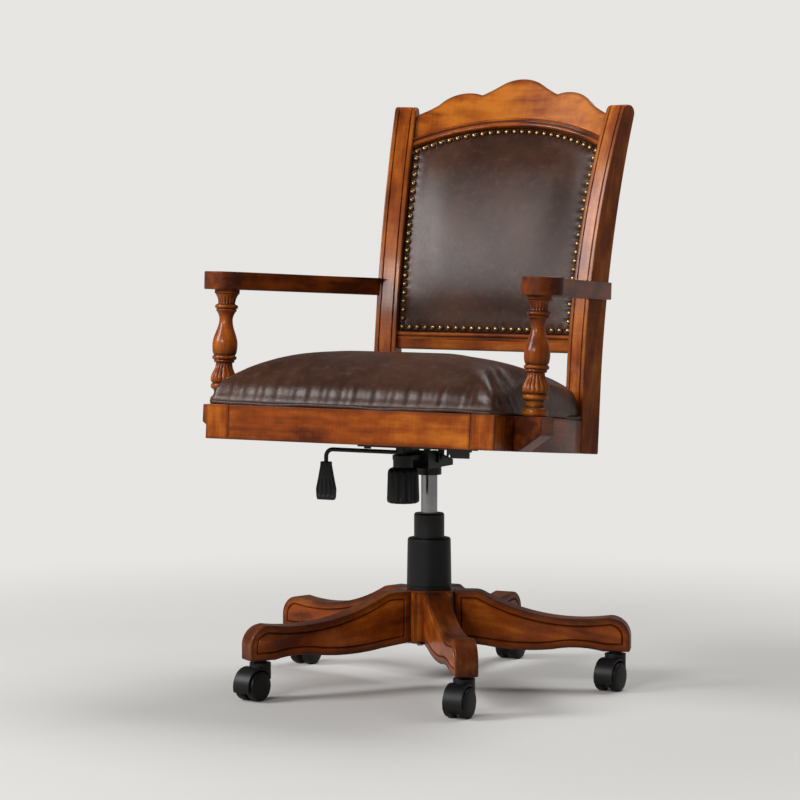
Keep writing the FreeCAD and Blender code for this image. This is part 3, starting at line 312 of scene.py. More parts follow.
@dataclass(frozen=True)
class CherryStain:
    """Cherry wood with a blotchy stain, a glossy lacquer, and dark glazing in its grooves and along its
    edges, which is also painted shade.
    """

    name: str = "cherry_wood"
    dark: Colour = shade(84, 32, 6)
    middle: Colour = shade(148, 68, 13)
    light: Colour = shade(205, 117, 32)
    # Dark colour of the pores, and of the glazing in grooves and along edges, where it is also painted
    # shade.
    glaze: Colour = shade(30, 11, 4)
    lacquer: float = 0.2

    def material(self) -> bpy.types.Material:
        """Builds the material, which reads the pieces' grain, their tone, on some pieces painted shade, and
        their dark glazing, which is also painted shade.
        """
        canvas = Canvas(self.name)
        place = canvas.trait("grain", "Vector")
        cloud = canvas.noise(place.stretched(11, 24, 24), 1.0, 3.0, 0.55)
        flame = canvas.noise(place.stretched(5, 95, 95), 1.0, 2.0, 0.6)
        fibre = canvas.noise(place.stretched(45, 1100, 1100), 1.0, 2.0, 0.6)
        curl = canvas.noise(place.stretched(260, 30, 30), 1.0, 2.0, 0.5)
        tone = cloud * 0.6 + flame * 0.22 + fibre * 0.1 + curl * 0.08 + canvas.trait("tone")
        stops = ((0.34, self.dark), (0.5, self.middle), (0.68, self.light))
        stain = canvas.add("ShaderNodeValToRGB", {"stops": stops}, {0: tone.clamped()})
        pores = fibre.spread(0.6, 0.78)
        stain = canvas.blend(pores * 0.4, stain, self.glaze)
        worn = canvas.noise(place.stretched(30, 60, 60), 1.0, 2.0)
        # Painted shade as well as glazing: the stored darkening deepens grooves, flutes, creases between
        # beads and bands along the edges.
        settled_glaze_and_shade = (canvas.trait("glaze") * (0.6 + worn * 0.6)).clamped()
        stain = canvas.blend(settled_glaze_and_shade * 0.9, stain, self.glaze)
        rough = 0.24 + fibre * 0.14 + settled_glaze_and_shade * 0.16
        relief = canvas.bump(fibre + cloud * 0.3 - pores * 0.5, 0.16, 0.0006)
        return canvas.finish(Base_Color=stain, Roughness=rough, Specular_IOR_Level=0.16,
                             Coat_Weight=self.lacquer, Coat_Roughness=0.1, Normal=relief)


@dataclass(frozen=True)
class PlainTimber:
    """Unstained boards under the seat."""

    name: str = "plain_wood"
    dark: Colour = shade(82, 56, 32)
    light: Colour = shade(128, 94, 58)

    def material(self) -> bpy.types.Material:
        """Builds the material."""
        canvas = Canvas(self.name)
        place = canvas.place()
        figure = canvas.noise(place.stretched(6, 80, 80), 1.0, 3.0, 0.6)
        fibre = canvas.noise(place.stretched(40, 900, 900), 1.0, 2.0)
        colour = canvas.blend((figure * 0.8 + fibre * 0.3).spread(0.3, 0.8), self.dark, self.light)
        return canvas.finish(Base_Color=colour, Roughness=0.62 + fibre * 0.15,
                             Normal=canvas.bump(fibre, 0.3, 0.0005))


@dataclass(frozen=True)
class BrownLeather:
    """Glossy dark brown leather with a fine pebbled grain."""

    name: str = "brown_leather"
    deep: Colour = shade(54, 31, 21)
    hide: Colour = shade(84, 52, 38)
    rubbed: Colour = shade(112, 74, 56)
    pebble: float = 640.0

    def material(self) -> bpy.types.Material:
        """Builds the material."""
        canvas = Canvas(self.name)
        place = canvas.place()
        cloud = canvas.noise(place, 11.0, 3.0, 0.6)
        mottle = canvas.noise(place, 75.0, 3.0, 0.6)
        sockets = {"Vector": place, "Scale": self.pebble}
        cells = canvas.add("ShaderNodeTexVoronoi", {"feature": "DISTANCE_TO_EDGE"}, sockets, "Distance")
        swell = cells.spread(0.0, 0.3)
        tone = canvas.blend(cloud.spread(0.35, 0.72), self.deep, self.hide)
        tone = canvas.blend(mottle.spread(0.5, 0.8) * 0.5, tone, self.rubbed)
        tone = canvas.blend((1 - swell) * 0.55, tone, self.deep)
        rough = 0.2 + mottle * 0.12 + (1 - swell) * 0.1
        relief = canvas.bump(swell + mottle * 0.8, 0.3, 0.00025)
        return canvas.finish(Base_Color=tone, Roughness=rough, Specular_IOR_Level=0.36, Normal=relief)


@dataclass(frozen=True)
class AntiqueBrass:
    """Aged brass, bright on its domes and brown in its hollows."""

    name: str = "antique_brass"
    bright: Colour = shade(186, 148, 92)
    aged: Colour = shade(84, 56, 30)

    def material(self) -> bpy.types.Material:
        """Builds the material."""
        canvas = Canvas(self.name)
        place = canvas.place()
        patina = canvas.noise(place, 420.0, 3.0, 0.65)
        hollow = canvas.trait("glaze")
        share = (patina.spread(0.42, 0.7) * 0.55 + hollow * 0.75).clamped()
        colour = canvas.blend(share, self.bright, self.aged)
        return canvas.finish(Base_Color=colour, Metallic=0.92, Roughness=0.26 + share * 0.28,
                             Normal=canvas.bump(patina, 0.12, 0.0003))


@dataclass(frozen=True)
class Moulded:
    """Moulded plastic with a fine spark texture."""

    name: str
    body: Colour
    scuffed: Colour
    rough: float = 0.4

    def material(self) -> bpy.types.Material:
        """Builds the material."""
        canvas = Canvas(self.name)
        place = canvas.place()
        spark = canvas.noise(place, 2600.0, 1.0)
        scuff = canvas.noise(place, 36.0, 4.0, 0.7)
        colour = canvas.blend(scuff.spread(0.52, 0.82) * 0.6, self.body, self.scuffed)
        rough = self.rough + scuff * 0.14 - 0.07 + spark * 0.06
        relief = canvas.bump(spark, 0.16, 0.0002)
        return canvas.finish(Base_Color=colour, Roughness=rough, Specular_IOR_Level=0.32, Normal=relief)


@dataclass(frozen=True)
class Metal:
    """Steel, painted, plated or polished."""

    name: str
    body: Colour
    dulled: Colour
    metallic: float
    rough: float
    streaks: Point

    def material(self) -> bpy.types.Material:
        """Builds the material."""
        canvas = Canvas(self.name)
        place = canvas.place()
        smear = canvas.noise(place, 28.0, 4.0, 0.65)
        drawn = canvas.noise(place.stretched(*self.streaks), 1.0, 2.0)
        colour = canvas.blend(smear.spread(0.45, 0.8) * 0.7, self.body, self.dulled)
        rough = self.rough + smear * 0.16 - 0.08 + drawn * 0.08
        return canvas.finish(Base_Color=colour, Metallic=self.metallic, Roughness=rough,
                             Normal=canvas.bump(drawn, 0.06, 0.0002))


class Finish(Enum):
    """Finishes of the chair, each with the name of its material slot."""

    CHERRY = CherryStain()
    TIMBER = PlainTimber()
    LEATHER = BrownLeather()
    BRASS = AntiqueBrass()
    PLASTIC = Moulded("black_plastic", shade(17, 17, 18), shade(30, 30, 31))
    GUIDE = Moulded("guide_plastic", shade(196, 192, 180), shade(170, 164, 150), 0.5)
    BLACK_STEEL = Metal("black_steel", shade(19, 19, 20), shade(34, 34, 35), 0.2, 0.36, (60, 60, 900))
    BRIGHT_STEEL = Metal("bright_steel", shade(160, 160, 162), shade(190, 190, 192), 1.0, 0.18,
                         (40, 40, 1500))
    ZINC_STEEL = Metal("zinc_steel", shade(150, 152, 156), shade(112, 112, 114), 0.95, 0.38,
                       (400, 400, 400))

    @property
    def slot(self) -> str:
        """Name of the material slot."""
        return self.value.name


class Paint:
    """Materials of the chair, each made once."""

    made: dict[Finish, bpy.types.Material] = {}

    @classmethod
    def of(cls, finish: Finish) -> bpy.types.Material:
        """Material of a finish."""
        if finish not in cls.made:
            cls.made[finish] = finish.value.material()
        return cls.made[finish]


# Workbench


class Bench:
    """Modelling steps that the sub-assemblies share."""

    JOIN = 1e-5
    SHARP = 28.0
    FLAT = 9e-4

    @staticmethod
    def clear() -> None:
        """Leaves edit mode and deselects everything."""
        active = bpy.context.view_layer.objects.active
        if active and active.mode != "OBJECT":
            bpy.ops.object.mode_set(mode="OBJECT")
        bpy.ops.object.select_all(action="DESELECT")

    @classmethod
    def hold(cls, piece: bpy.types.Object) -> None:
        """Makes a piece the only selected and active one."""
        cls.clear()
        piece.select_set(True)
        bpy.context.view_layer.objects.active = piece

    @classmethod
    @contextmanager
    def editing(cls, piece: bpy.types.Object, kind: str = "FACE") -> Iterator[None]:
        """Edit mode on one piece.

        Args:
            piece: Piece to edit.
            kind: VERT, EDGE or FACE selection.

        Yields:
            Nothing, inside edit mode.
        """
        cls.hold(piece)
        bpy.ops.object.mode_set(mode="EDIT")
        bpy.ops.mesh.select_mode(type=kind)
        yield
        bpy.ops.object.mode_set(mode="OBJECT")

    @staticmethod
    def choose(piece: bpy.types.Object, parts: str, test: Test) -> int:
        """Selects the vertices, edges or faces that pass a test, in edit mode.

        Args:
            piece: Piece in edit mode.
            parts: "verts", "edges" or "faces".
            test: Says whether an element is taken.

        Returns:
            How many were selected.
        """
        mesh = bmesh.from_edit_mesh(piece.data)
        for element in (*mesh.verts, *mesh.edges, *mesh.faces):
            element.select = False
        taken = [element for element in getattr(mesh, parts) if test(element)]
        for element in taken:
            element.select_set(True)
        mesh.select_flush_mode()
        bmesh.update_edit_mesh(piece.data)
        return len(taken)

    @staticmethod
    def stain(piece: bpy.types.Object, value: float, chosen_only: bool = True) -> None:
        """Sets the darkening of the selected faces' corners, or of all, in edit mode; the darkening is dark
        glazing and painted shade.

        Args:
            piece: Piece in edit mode.
            value: Darkening from 0 to 1, glazing and painted shade.
            chosen_only: Leaves what isn't selected as it is.
        """
        mesh = bmesh.from_edit_mesh(piece.data)
        layer = mesh.verts.layers.float.get("glaze") or mesh.verts.layers.float.new("glaze")
        for vertex in mesh.verts:
            if vertex.select or not chosen_only:
                vertex[layer] = value
        bmesh.update_edit_mesh(piece.data)

    @classmethod
    def copy_of(cls, node: str, name: str) -> bpy.types.Object:
        """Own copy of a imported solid, with its triangles merged into faces.

        Args:
            node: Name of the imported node.
            name: Name of the copy.

        Returns:
            The copy.
        """
        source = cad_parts[node]
        piece = bpy.data.objects.new(name, source.data.copy())
        piece.data.name = name
        piece.data.materials.clear()
        bpy.context.scene.collection.objects.link(piece)
        with cls.editing(piece):
            bpy.ops.mesh.select_all(action="SELECT")
            bpy.ops.mesh.customdata_custom_splitnormals_clear()
            bpy.ops.mesh.remove_doubles(threshold=cls.JOIN)
            bpy.ops.mesh.mark_sharp(clear=True)
            bpy.ops.mesh.dissolve_limited(angle_limit=math.radians(0.6))
        return piece

    @classmethod
    def ease(cls, piece: bpy.types.Object, width: float, band: float = 0.0, steps: int = 3,
             whole: bool = False, glaze: float = 0.75) -> None:
        """Rounds the sharp edges and darkens along them with glazing that is also painted shade.

        Args:
            piece: Merged copy of a solid.
            width: Width of the rounding.
            band: Width of the darkening, glazing and painted shade, that fades from an edge, none at 0.
            steps: Facets of the rounding.
            whole: Treats the faces between the edges as one curved face, not as flats.
            glaze: Darkening of the rounding, glazing and painted shade, from 0 to 1.
        """
        least = math.radians(cls.SHARP)
        with cls.editing(piece, "EDGE"):
            cls.stain(piece, 0.0, False)
            cls.choose(piece, "edges", lambda edge: edge.is_manifold and edge.calc_face_angle(0) > least)
            bpy.ops.mesh.bevel(offset=width, segments=steps, affect="EDGES", clamp_overlap=False)
            bpy.ops.mesh.select_mode(type="FACE")
            cls.stain(piece, glaze)
            if band and whole:
                bpy.ops.mesh.select_all(action="INVERT")
                bpy.ops.mesh.inset(thickness=band, depth=0, use_even_offset=True)
                cls.stain(piece, 0.0)
            elif band:
                cls.choose(piece, "faces", lambda face: face.calc_area() > cls.FLAT)
                bpy.ops.mesh.inset(thickness=band, depth=0, use_even_offset=True, use_individual=True)
                cls.stain(piece, 0.0)

    @classmethod
    def groove(cls, piece: bpy.types.Object, inset: float, width: float, depth: float,
               joined: bool) -> None:
        """Cuts a V-groove inside the outline of the selected faces, in edit mode, and darkens it most at
        its floor with glazing that is also painted shade.

        Args:
            piece: Piece in edit mode with the faces selected.
            inset: Distance from the outline to the groove.
            width: Width of the groove.
            depth: Depth of the groove.
            joined: Treats the faces as one region.
        """
        # Darkening of each ring, glazing and painted shade, most at the groove's floor.
        rings = ((inset, 0, 0.2), (width / 2, -depth, 1.0), (width / 2, depth, 0.1), (inset / 3, 0, 0.0))
        for thickness, rise, glaze in rings:
            bpy.ops.mesh.inset(thickness=thickness, depth=rise, use_individual=not joined)
            cls.stain(piece, glaze)

    @classmethod
    def eased(cls, node: str, name: str, width: float, **options: Any) -> bpy.types.Object:
        """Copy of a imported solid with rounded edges, shaded smooth.

        Args:
            node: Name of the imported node.
            name: Name of the copy.
            width: Width of the rounding.
            options: What else ease is told.

        Returns:
            The copy.
        """
        piece = cls.copy_of(node, name)
        cls.ease(piece, width, **options)
        cls.smooth(piece)
        return piece

    @classmethod
    def remeshed(cls, node: str, name: str, voxel: float) -> bpy.types.Object:
        """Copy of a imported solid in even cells.

        Args:
            node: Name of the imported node.
            name: Name of the copy.
            voxel: Size of the cells.

        Returns:
            The copy.
        """
        piece = cls.copy_of(node, name)
        piece.data.remesh_voxel_size = voxel
        cls.hold(piece)
        bpy.ops.object.voxel_remesh()
        return piece

    @classmethod
    def block(cls, name: str, middle: Sequence[float], size: Sequence[float]) -> bpy.types.Object:
        """Makes a block.

        Args:
            name: Name of the piece.
            middle: Where its middle is.
            size: Its lengths along each axis.

        Returns:
            The block, with its scale applied.
        """
        cls.clear()
        bpy.ops.mesh.primitive_cube_add(size=1, location=middle)
        piece = bpy.context.object
        piece.name = piece.data.name = name
        piece.scale = size
        bpy.ops.object.transform_apply(location=True, rotation=True, scale=True)
        return piece

    @classmethod
    def press(cls, piece: bpy.types.Object, depth: np.ndarray) -> None:
        """Presses each vertex towards Z by a depth of its own."""
        places = cls.places(piece)
        radius = np.hypot(places[:, 0], places[:, 1])
        places[:, :2] *= ((radius - depth) / np.maximum(radius, 1e-9))[:, None]
        cls.move_to(piece, places)

    @classmethod
    def smooth(cls, piece: bpy.types.Object, angle: float = 35.0, weighted: bool = True) -> None:
        """Shades a piece smooth up to an angle in degrees, with the large faces kept flat."""
        cls.hold(piece)
        bpy.ops.object.shade_smooth_by_angle(angle=math.radians(angle))
        if weighted:
            cls.apply(piece, "WEIGHTED_NORMAL", keep_sharp=True)

    @classmethod
    def apply(cls, piece: bpy.types.Object, kind: str, **settings: Any) -> None:
        """Adds a modifier, sets it and applies it.

        Args:
            piece: Piece that takes it.
            kind: Modifier type.
            settings: Properties of the modifier.
        """
        cls.hold(piece)
        bpy.ops.object.modifier_add(type=kind)
        modifier = piece.modifiers[-1]
        for name, value in settings.items():
            setattr(modifier, name, value)
        bpy.ops.object.modifier_apply(modifier=modifier.name)

    @classmethod
    def subdivide(cls, piece: bpy.types.Object, levels: int = 1) -> None:
        """Applies a subdivision surface."""
        cls.apply(piece, "SUBSURF", levels=levels, render_levels=levels)

    @staticmethod
    def rows(elements: Any, key: str) -> np.ndarray:
        """One vector of each element, as rows."""
        flat = np.empty(len(elements) * 3, np.float32)
        elements.foreach_get(key, flat)
        return flat.reshape(-1, 3).astype(float)

    @classmethod
    def places(cls, piece: bpy.types.Object) -> np.ndarray:
        """Vertex places of a piece as rows."""
        return cls.rows(piece.data.vertices, "co")

    @classmethod
    def facings(cls, piece: bpy.types.Object) -> np.ndarray:
        """Vertex normals of a piece as rows."""
        return cls.rows(piece.data.vertex_normals, "vector")

    @staticmethod
    def move_to(piece: bpy.types.Object, places: np.ndarray) -> None:
        """Sets the vertex places of a piece."""
        piece.data.vertices.foreach_set("co", places.astype(np.float32).ravel())
        piece.data.update()

    @classmethod
    def grain(cls, piece: bpy.types.Object, along: Vector, seed: float, tone: float = 0.0) -> None:
        """Writes the wood's own coordinates, with the first along the grain.

        Args:
            piece: Wooden piece.
            along: Direction of the grain.
            seed: Shifts the figure, so that no two pieces match.
            tone: How much lighter the stain took, or darker below 0; on the side rails, arm blocks and arms
                the darkening is painted shade of their shaded sides.
        """
        first = along.normalized()
        other = Vector((0, 0, 1)) if abs(first.z) < 0.8 else Vector((0, 1, 0))
        second = first.cross(other).normalized()
        third = first.cross(second)
        basis = np.array([first, second, third])
        places = cls.places(piece) @ basis.T + np.array([seed * 3.17, seed * 1.31, seed * 0.77])
        tones_and_shade = np.full(len(places), tone)
        traits = piece.data.attributes
        for name, kind, key, values in (("grain", "FLOAT_VECTOR", "vector", places),
                                        ("tone", "FLOAT", "value", tones_and_shade)):
            layer = traits.get(name) or traits.new(name, kind, "POINT")
            layer.data.foreach_set(key, values.astype(np.float32).ravel())

    @classmethod
    def shift(cls, piece: bpy.types.Object, matrix: Matrix) -> None:
        """Moves a piece by a matrix and applies its place to the mesh."""
        cls.hold(piece)
        piece.matrix_world = matrix @ piece.matrix_world
        bpy.ops.object.transform_apply(location=True, rotation=True, scale=True)

    @classmethod
    def twin(cls, piece: bpy.types.Object, name: str) -> bpy.types.Object:
        """Copy of a piece with a mesh of its own."""
        copy = piece.copy()
        copy.data = piece.data.copy()
        copy.name = copy.data.name = name
        bpy.context.scene.collection.objects.link(copy)
        return copy

    @classmethod
    def mirror(cls, piece: bpy.types.Object, name: str) -> bpy.types.Object:
        """Copy of a piece on the other side of the chair."""
        copy = cls.twin(piece, name)
        cls.shift(copy, Matrix.Scale(-1, 4, (1, 0, 0)))
        with cls.editing(copy):
            bpy.ops.mesh.select_all(action="SELECT")
            bpy.ops.mesh.normals_make_consistent(inside=False)
        return copy

    @classmethod
    def join(cls, pieces: Sequence[bpy.types.Object], name: str) -> bpy.types.Object:
        """Joins pieces into the first one, under a new name."""
        cls.hold(pieces[0])
        for piece in pieces[1:]:
            piece.select_set(True)
        bpy.ops.object.join()
        pieces[0].name = pieces[0].data.name = name
        return pieces[0]

    @classmethod
    @contextmanager
    def drawing(cls, piece: bpy.types.Object) -> Iterator[tuple[bmesh.types.BMesh, Any]]:
        """Edit mode on an emptied piece, whose new faces are joined and turned outwards at the end.

        Args:
            piece: Piece to draw anew.

        Yields:
            The piece's mesh and its vertices' darkening layer: glazing and painted shade on wood, patina on
            brass.
        """
        with cls.editing(piece, "VERT"):
            bpy.ops.mesh.select_all(action="SELECT")
            bpy.ops.mesh.delete(type="VERT")
            mesh = bmesh.from_edit_mesh(piece.data)
            yield mesh, mesh.verts.layers.float.new("glaze")
            bpy.ops.mesh.select_all(action="SELECT")
            bpy.ops.mesh.remove_doubles(threshold=cls.JOIN)
            bpy.ops.mesh.normals_make_consistent(inside=False)

    @classmethod
    def lathe(cls, name: str, outline: Sequence[Sequence[float]], steps: int) -> bpy.types.Object:
        """Turns an outline about Z.

        Args:
            name: Name of the piece.
            outline: Rows of radius, height and darkening, none where left out, from one end to the other;
                the darkening is glazing and painted shade on wood, patina on brass.
            steps: Facets of a full turn.

        Returns:
            The turned piece.
        """
        piece = cls.block(name, (0, 0, 0), (1, 1, 1))
        with cls.drawing(piece) as (mesh, layer):
            row = []
            for radius, height, *glaze in outline:
                vertex = mesh.verts.new((radius, 0, height))
                vertex[layer] = sum(glaze)
                row.append(vertex)
            for first, second in zip(row, row[1:]):
                mesh.edges.new((first, second))
            bmesh.update_edit_mesh(piece.data)
            bpy.ops.mesh.select_all(action="SELECT")
            bpy.ops.mesh.spin(steps=steps, angle=2 * math.pi, center=(0, 0, 0), axis=(0, 0, 1))
        return piece

    @classmethod
    def sweep(cls, name: str, rows: Sequence[Sequence[Vector]],
              glazes: Sequence[float]) -> bpy.types.Object:
        """Moulding through rows of points, each a closed section.

        Args:
            name: Name of the piece.
            rows: Points of the section at each place along the moulding.
            glazes: Darkening of each point of the section, glazing and painted shade.

        Returns:
            The closed moulding.
        """
        piece = cls.block(name, (0, 0, 0), (1, 1, 1))
        with cls.drawing(piece) as (mesh, layer):
            loops = [[mesh.verts.new(point) for point in row] for row in rows]
            for loop in loops:
                for vertex, glaze in zip(loop, glazes):
                    vertex[layer] = glaze
            for loop, after in zip(loops, loops[1:]):
                for index, vertex in enumerate(loop):
                    mesh.faces.new((loop[index - 1], vertex, after[index], after[index - 1]))
            mesh.faces.new(loops[0])
            mesh.faces.new(loops[-1])
            bmesh.update_edit_mesh(piece.data)
        return piece

    @classmethod
    def tube(cls, name: str, path: Sequence[Vector], radius: float, closed: bool = False,
             sides: int = 3) -> bpy.types.Object:
        """Round bead along a path.

        Args:
            name: Name of the piece.
            path: Points of the middle line.
            radius: Radius of the bead.
            closed: Joins the ends.
            sides: Resolution of the section.

        Returns:
            The bead as a mesh.
        """
        line = bpy.data.curves.new(name, "CURVE")
        line.dimensions = "3D"
        line.bevel_depth = radius
        line.bevel_resolution = sides
        line.use_fill_caps = not closed
        spline = line.splines.new("POLY")
        spline.points.add(len(path) - 1)
        spline.use_cyclic_u = closed
        for point, place in zip(spline.points, path):
            point.co = (*place, 1.0)
        bead = bpy.data.objects.new(name, line)
        bpy.context.scene.collection.objects.link(bead)
        cls.hold(bead)
        bpy.ops.object.convert(target="MESH")
        piece = bpy.context.object
        piece.name = piece.data.name = name
        with cls.editing(piece):
            bpy.ops.mesh.select_all(action="SELECT")
            bpy.ops.mesh.remove_doubles(threshold=cls.JOIN)
            bpy.ops.mesh.normals_make_consistent(inside=False)
            cls.stain(piece, 0.0, False)
        return piece

    @classmethod
    def inflate(cls, piece: bpy.types.Object, voxel: float, pressure: float, cap: float, held: np.ndarray,
                frames: int = 20) -> None:
        """Swells a remeshed pad as cloth under pressure.

        Args:
            piece: Remeshed pad.
            voxel: Size of its cells, which sets the cloth's distance.
            pressure: Pressure inside.
            cap: Most that a point may move.
            held: True for each vertex that is pinned.
            frames: Steps of the simulation.
        """
        start = cls.places(piece)
        group = piece.vertex_groups.new(name="held")
        group.add([int(index) for index in np.flatnonzero(held)], 1.0, "REPLACE")
        cls.hold(piece)
        bpy.ops.object.modifier_add(type="CLOTH")
        cloth = piece.modifiers[-1]
        cloth.settings.use_pressure = True
        cloth.settings.uniform_pressure_force = pressure
        cloth.settings.vertex_group_mass = group.name
        cloth.settings.effector_weights.gravity = 0
        cloth.settings.quality = 5
        cloth.settings.bending_stiffness = 2.0
        cloth.collision_settings.distance_min = voxel / 4
        cloth.collision_settings.use_collision = False
        cloth.point_cache.frame_start = 1
        cloth.point_cache.frame_end = frames
        for step in range(1, frames + 1):
            bpy.context.scene.frame_set(step)
        bpy.ops.object.modifier_apply(modifier=cloth.name)
        bpy.context.scene.frame_set(1)
        piece.vertex_groups.clear()
        move = cls.places(piece) - start
        length = np.linalg.norm(move, axis=1, keepdims=True)
        share = cap * np.tanh(length / cap) / np.maximum(length, 1e-9)
        cls.move_to(piece, start + move * share)

    @classmethod
    def dress(cls, piece: bpy.types.Object, finish: Finish, body: str, *nodes: str) -> bpy.types.Object:
        """Gives a piece its finish, its body and the nodes that it stands for.

        Args:
            piece: Finished piece.
            finish: Its finish.
            body: Body that it rides on.
            nodes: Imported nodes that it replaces.

        Returns:
            The piece.
        """
        piece.data.materials.clear()
        piece.data.materials.append(Paint.of(finish))
        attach(piece, body)
        if nodes:
            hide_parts(*nodes)
        LOG.info("%s on %s: %d faces", piece.name, body, len(piece.data.polygons))
        return piece


def seat_place() -> Matrix:
    """Place of the raked seat's own axes."""
    pivot = Matrix.Translation((0, -20 * MM, 396 * MM))
    return pivot @ Matrix.Rotation(math.radians(-5.3), 4, "X") @ Matrix.Translation((0, 15.9 * MM, 15 * MM))


def carried(places: np.ndarray, matrix: Matrix) -> np.ndarray:
    """Rows of places moved by a matrix."""
    rows = np.array(matrix)
    return places @ rows[:3, :3].T + rows[:3, 3]


# Base


@dataclass
class StarBase:
    """Five carved legs and the hub that they meet in."""

    count: int = 5
    first_angle: float = 19.07
    edge: float = 2.6 * MM
    groove_inset: float = 8.0 * MM
    groove_width: float = 4.2 * MM
    groove_depth: float = 2.4 * MM
    hub_edge: float = 1.5 * MM
    hub_band: float = 3 * MM
    tone: float = -0.03
    least_side: float = 4000 * MM * MM
    legs: list[bpy.types.Object] = field(default_factory=list)

    def build(self) -> None:
        """Carves one leg, copies it round the hub and eases the hub."""
        angle = math.radians(self.first_angle)
        across = Vector((-math.sin(angle), math.cos(angle), 0))
        leg = Bench.copy_of("base_leg_1", "leg_1")
        Bench.ease(leg, self.edge)
        with Bench.editing(leg):
            Bench.choose(leg, "faces", lambda face: self.is_side(face, across))
            Bench.groove(leg, self.groove_inset, self.groove_width, self.groove_depth, False)
        Bench.smooth(leg)
        self.legs = [leg]
        for index in range(1, self.count):
            copy = Bench.twin(leg, f"leg_{index + 1}")
            Bench.shift(copy, Matrix.Rotation(2 * math.pi * index / self.count, 4, "Z"))
            self.legs.append(copy)
        self.hub = Bench.eased("base_hub", "hub", self.hub_edge, band=self.hub_band)

    def is_side(self, face: bmesh.types.BMFace, across: Vector) -> bool:
        """Whether a face is one of the leg's flat sides."""
        return abs(face.normal.dot(across)) > 0.99 and face.calc_area() > self.least_side

    def dress(self) -> None:
        """Stains the legs along their length."""
        for index, leg in enumerate(self.legs):
            angle = math.radians(self.first_angle + 360 * index / self.count)
            Bench.grain(leg, Vector((math.cos(angle), math.sin(angle), -0.2)), 1.0 + index, self.tone)
            Bench.dress(leg, Finish.CHERRY, "base", f"base_leg_{index + 1}")
        Bench.grain(self.hub, Vector((0, 0, 1)), 0.4)
        Bench.dress(self.hub, Finish.CHERRY, "base", "base_hub")


@dataclass
class Castors:
    """Twin-wheel castors with hoods."""

    count: int = 5
    radius: float = 25 * MM
    half_width: float = 9 * MM
    steps: int = 64
    edge: float = 1.1 * MM

    def outline(self) -> list[tuple[float, float]]:
        """Half section of a wheel, from the inner face to the outer one."""
        inner = [(0, -1), (0.86, -1), (0.94, -0.86), (0.985, -0.7), (1, -0.5)]
        rim = [(1, 0.4), (0.985, 0.6), (0.95, 0.76), (0.9, 0.82), (0.87, 0.78), (0.84, 0.83)]
        outer = [(0.7, 0.92), (0.45, 0.98), (0, 1)]
        return [(share * self.radius, level * self.half_width) for share, level in inner + rim + outer]

    def build(self) -> None:
        """Turns one wheel, copies it to each axle end and eases the hoods."""
        wheel = Bench.lathe("wheel", self.outline(), self.steps)
        Bench.smooth(wheel, 30)
        self.wheels: list[tuple[bpy.types.Object, str]] = []
        self.hoods: list[tuple[bpy.types.Object, str]] = []
        for index in range(1, self.count + 1):
            middles = {}
            for side in Side:
                low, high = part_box(f"castor_wheel_{index}_{side.word}")
                middles[side] = (low + high) / 2
            axle = (middles[Side.LEFT] + middles[Side.RIGHT]) / 2
            for side, middle in middles.items():
                word = f"castor_wheel_{index}_{side.word}"
                copy = Bench.twin(wheel, f"wheel_{index}_{side.word}")
                turn = (middle - axle).to_track_quat("Z", "Y").to_matrix().to_4x4()
                Bench.shift(copy, Matrix.Translation(middle) @ turn)
                self.wheels.append((copy, word))
            hood = Bench.eased(f"castor_frame_{index}", f"hood_{index}", self.edge, steps=2)
            self.hoods.append((hood, f"castor_{index}"))
        bpy.data.objects.remove(wheel)

    def dress(self) -> None:
        """Gives the wheels and hoods their black plastic."""
        for wheel, node in self.wheels:
            Bench.dress(wheel, Finish.PLASTIC, node, node)
        for hood, body in self.hoods:
            Bench.dress(hood, Finish.PLASTIC, body, body.replace("castor_", "castor_frame_"))


# Gas lift and mechanism


@dataclass
class GasLift:
    """Outer tube and its plastic cover, turned."""

    cover_low: float = 166 * MM
    cover_high: float = 255 * MM
    cover_foot: float = 38.5 * MM
    cover_top: float = 37 * MM
    tube_radius: float = 26 * MM
    tube_low: float = 82 * MM
    tube_high: float = 297 * MM
    bore: float = 23.55 * MM
    cover_gap: float = 0.4 * MM
    cover_wall: float = 2 * MM
    cover_lid: float = 3 * MM
    crease: float = 30
    steps: int = 96

    def build(self) -> None:
        """Turns the cover, with its foot ring and eased lip, and the tube."""
        low, high, gap = self.cover_low, self.cover_high, self.tube_radius + self.cover_gap
        wall = self.cover_top - self.cover_wall
        ring = [(-2, 0), (0, 0.6), (0, 5.6), (-0.9, 6.4), (-0.9, 7.4), (-0.2, 8.2)]
        lip = [(0, -4), (-0.6, -1.8), (-2.2, -0.4), (-4, 0)]
        foot = self.from_corner(ring, self.cover_foot, low)
        inside = [(gap, high), (gap, high - self.cover_lid), (wall, high - self.cover_lid), (wall, low)]
        cover = foot + self.from_corner(lip, self.cover_top, high) + inside + foot[:1]
        self.cover = Bench.lathe("column_cover_turned", cover, self.steps)
        Bench.smooth(self.cover, self.crease)
        start, end = (self.bore, self.tube_low), (self.bore, self.tube_high)
        mouth = self.from_corner([(0, -3.2), (-0.7, -1.4), (-1.8, 0)], self.tube_radius, self.tube_high)
        tube = [start, (self.tube_radius, self.tube_low), *mouth, end, start]
        self.tube = Bench.lathe("column_tube_turned", tube, self.steps)
        Bench.smooth(self.tube, self.crease)

    @staticmethod
    def from_corner(rows: Sequence[tuple[float, float]], radius: float,
                    height: float) -> list[tuple[float, float]]:
        """Outline rows in mm from a corner's radius and height."""
        return [(radius + out * MM, height + rise * MM) for out, rise in rows]

    def dress(self) -> None:
        """Gives the cover its plastic and the tube its paint."""
        Bench.dress(self.cover, Finish.PLASTIC, "base", "column_cover")
        Bench.dress(self.tube, Finish.BLACK_STEEL, "base", "column_tube")


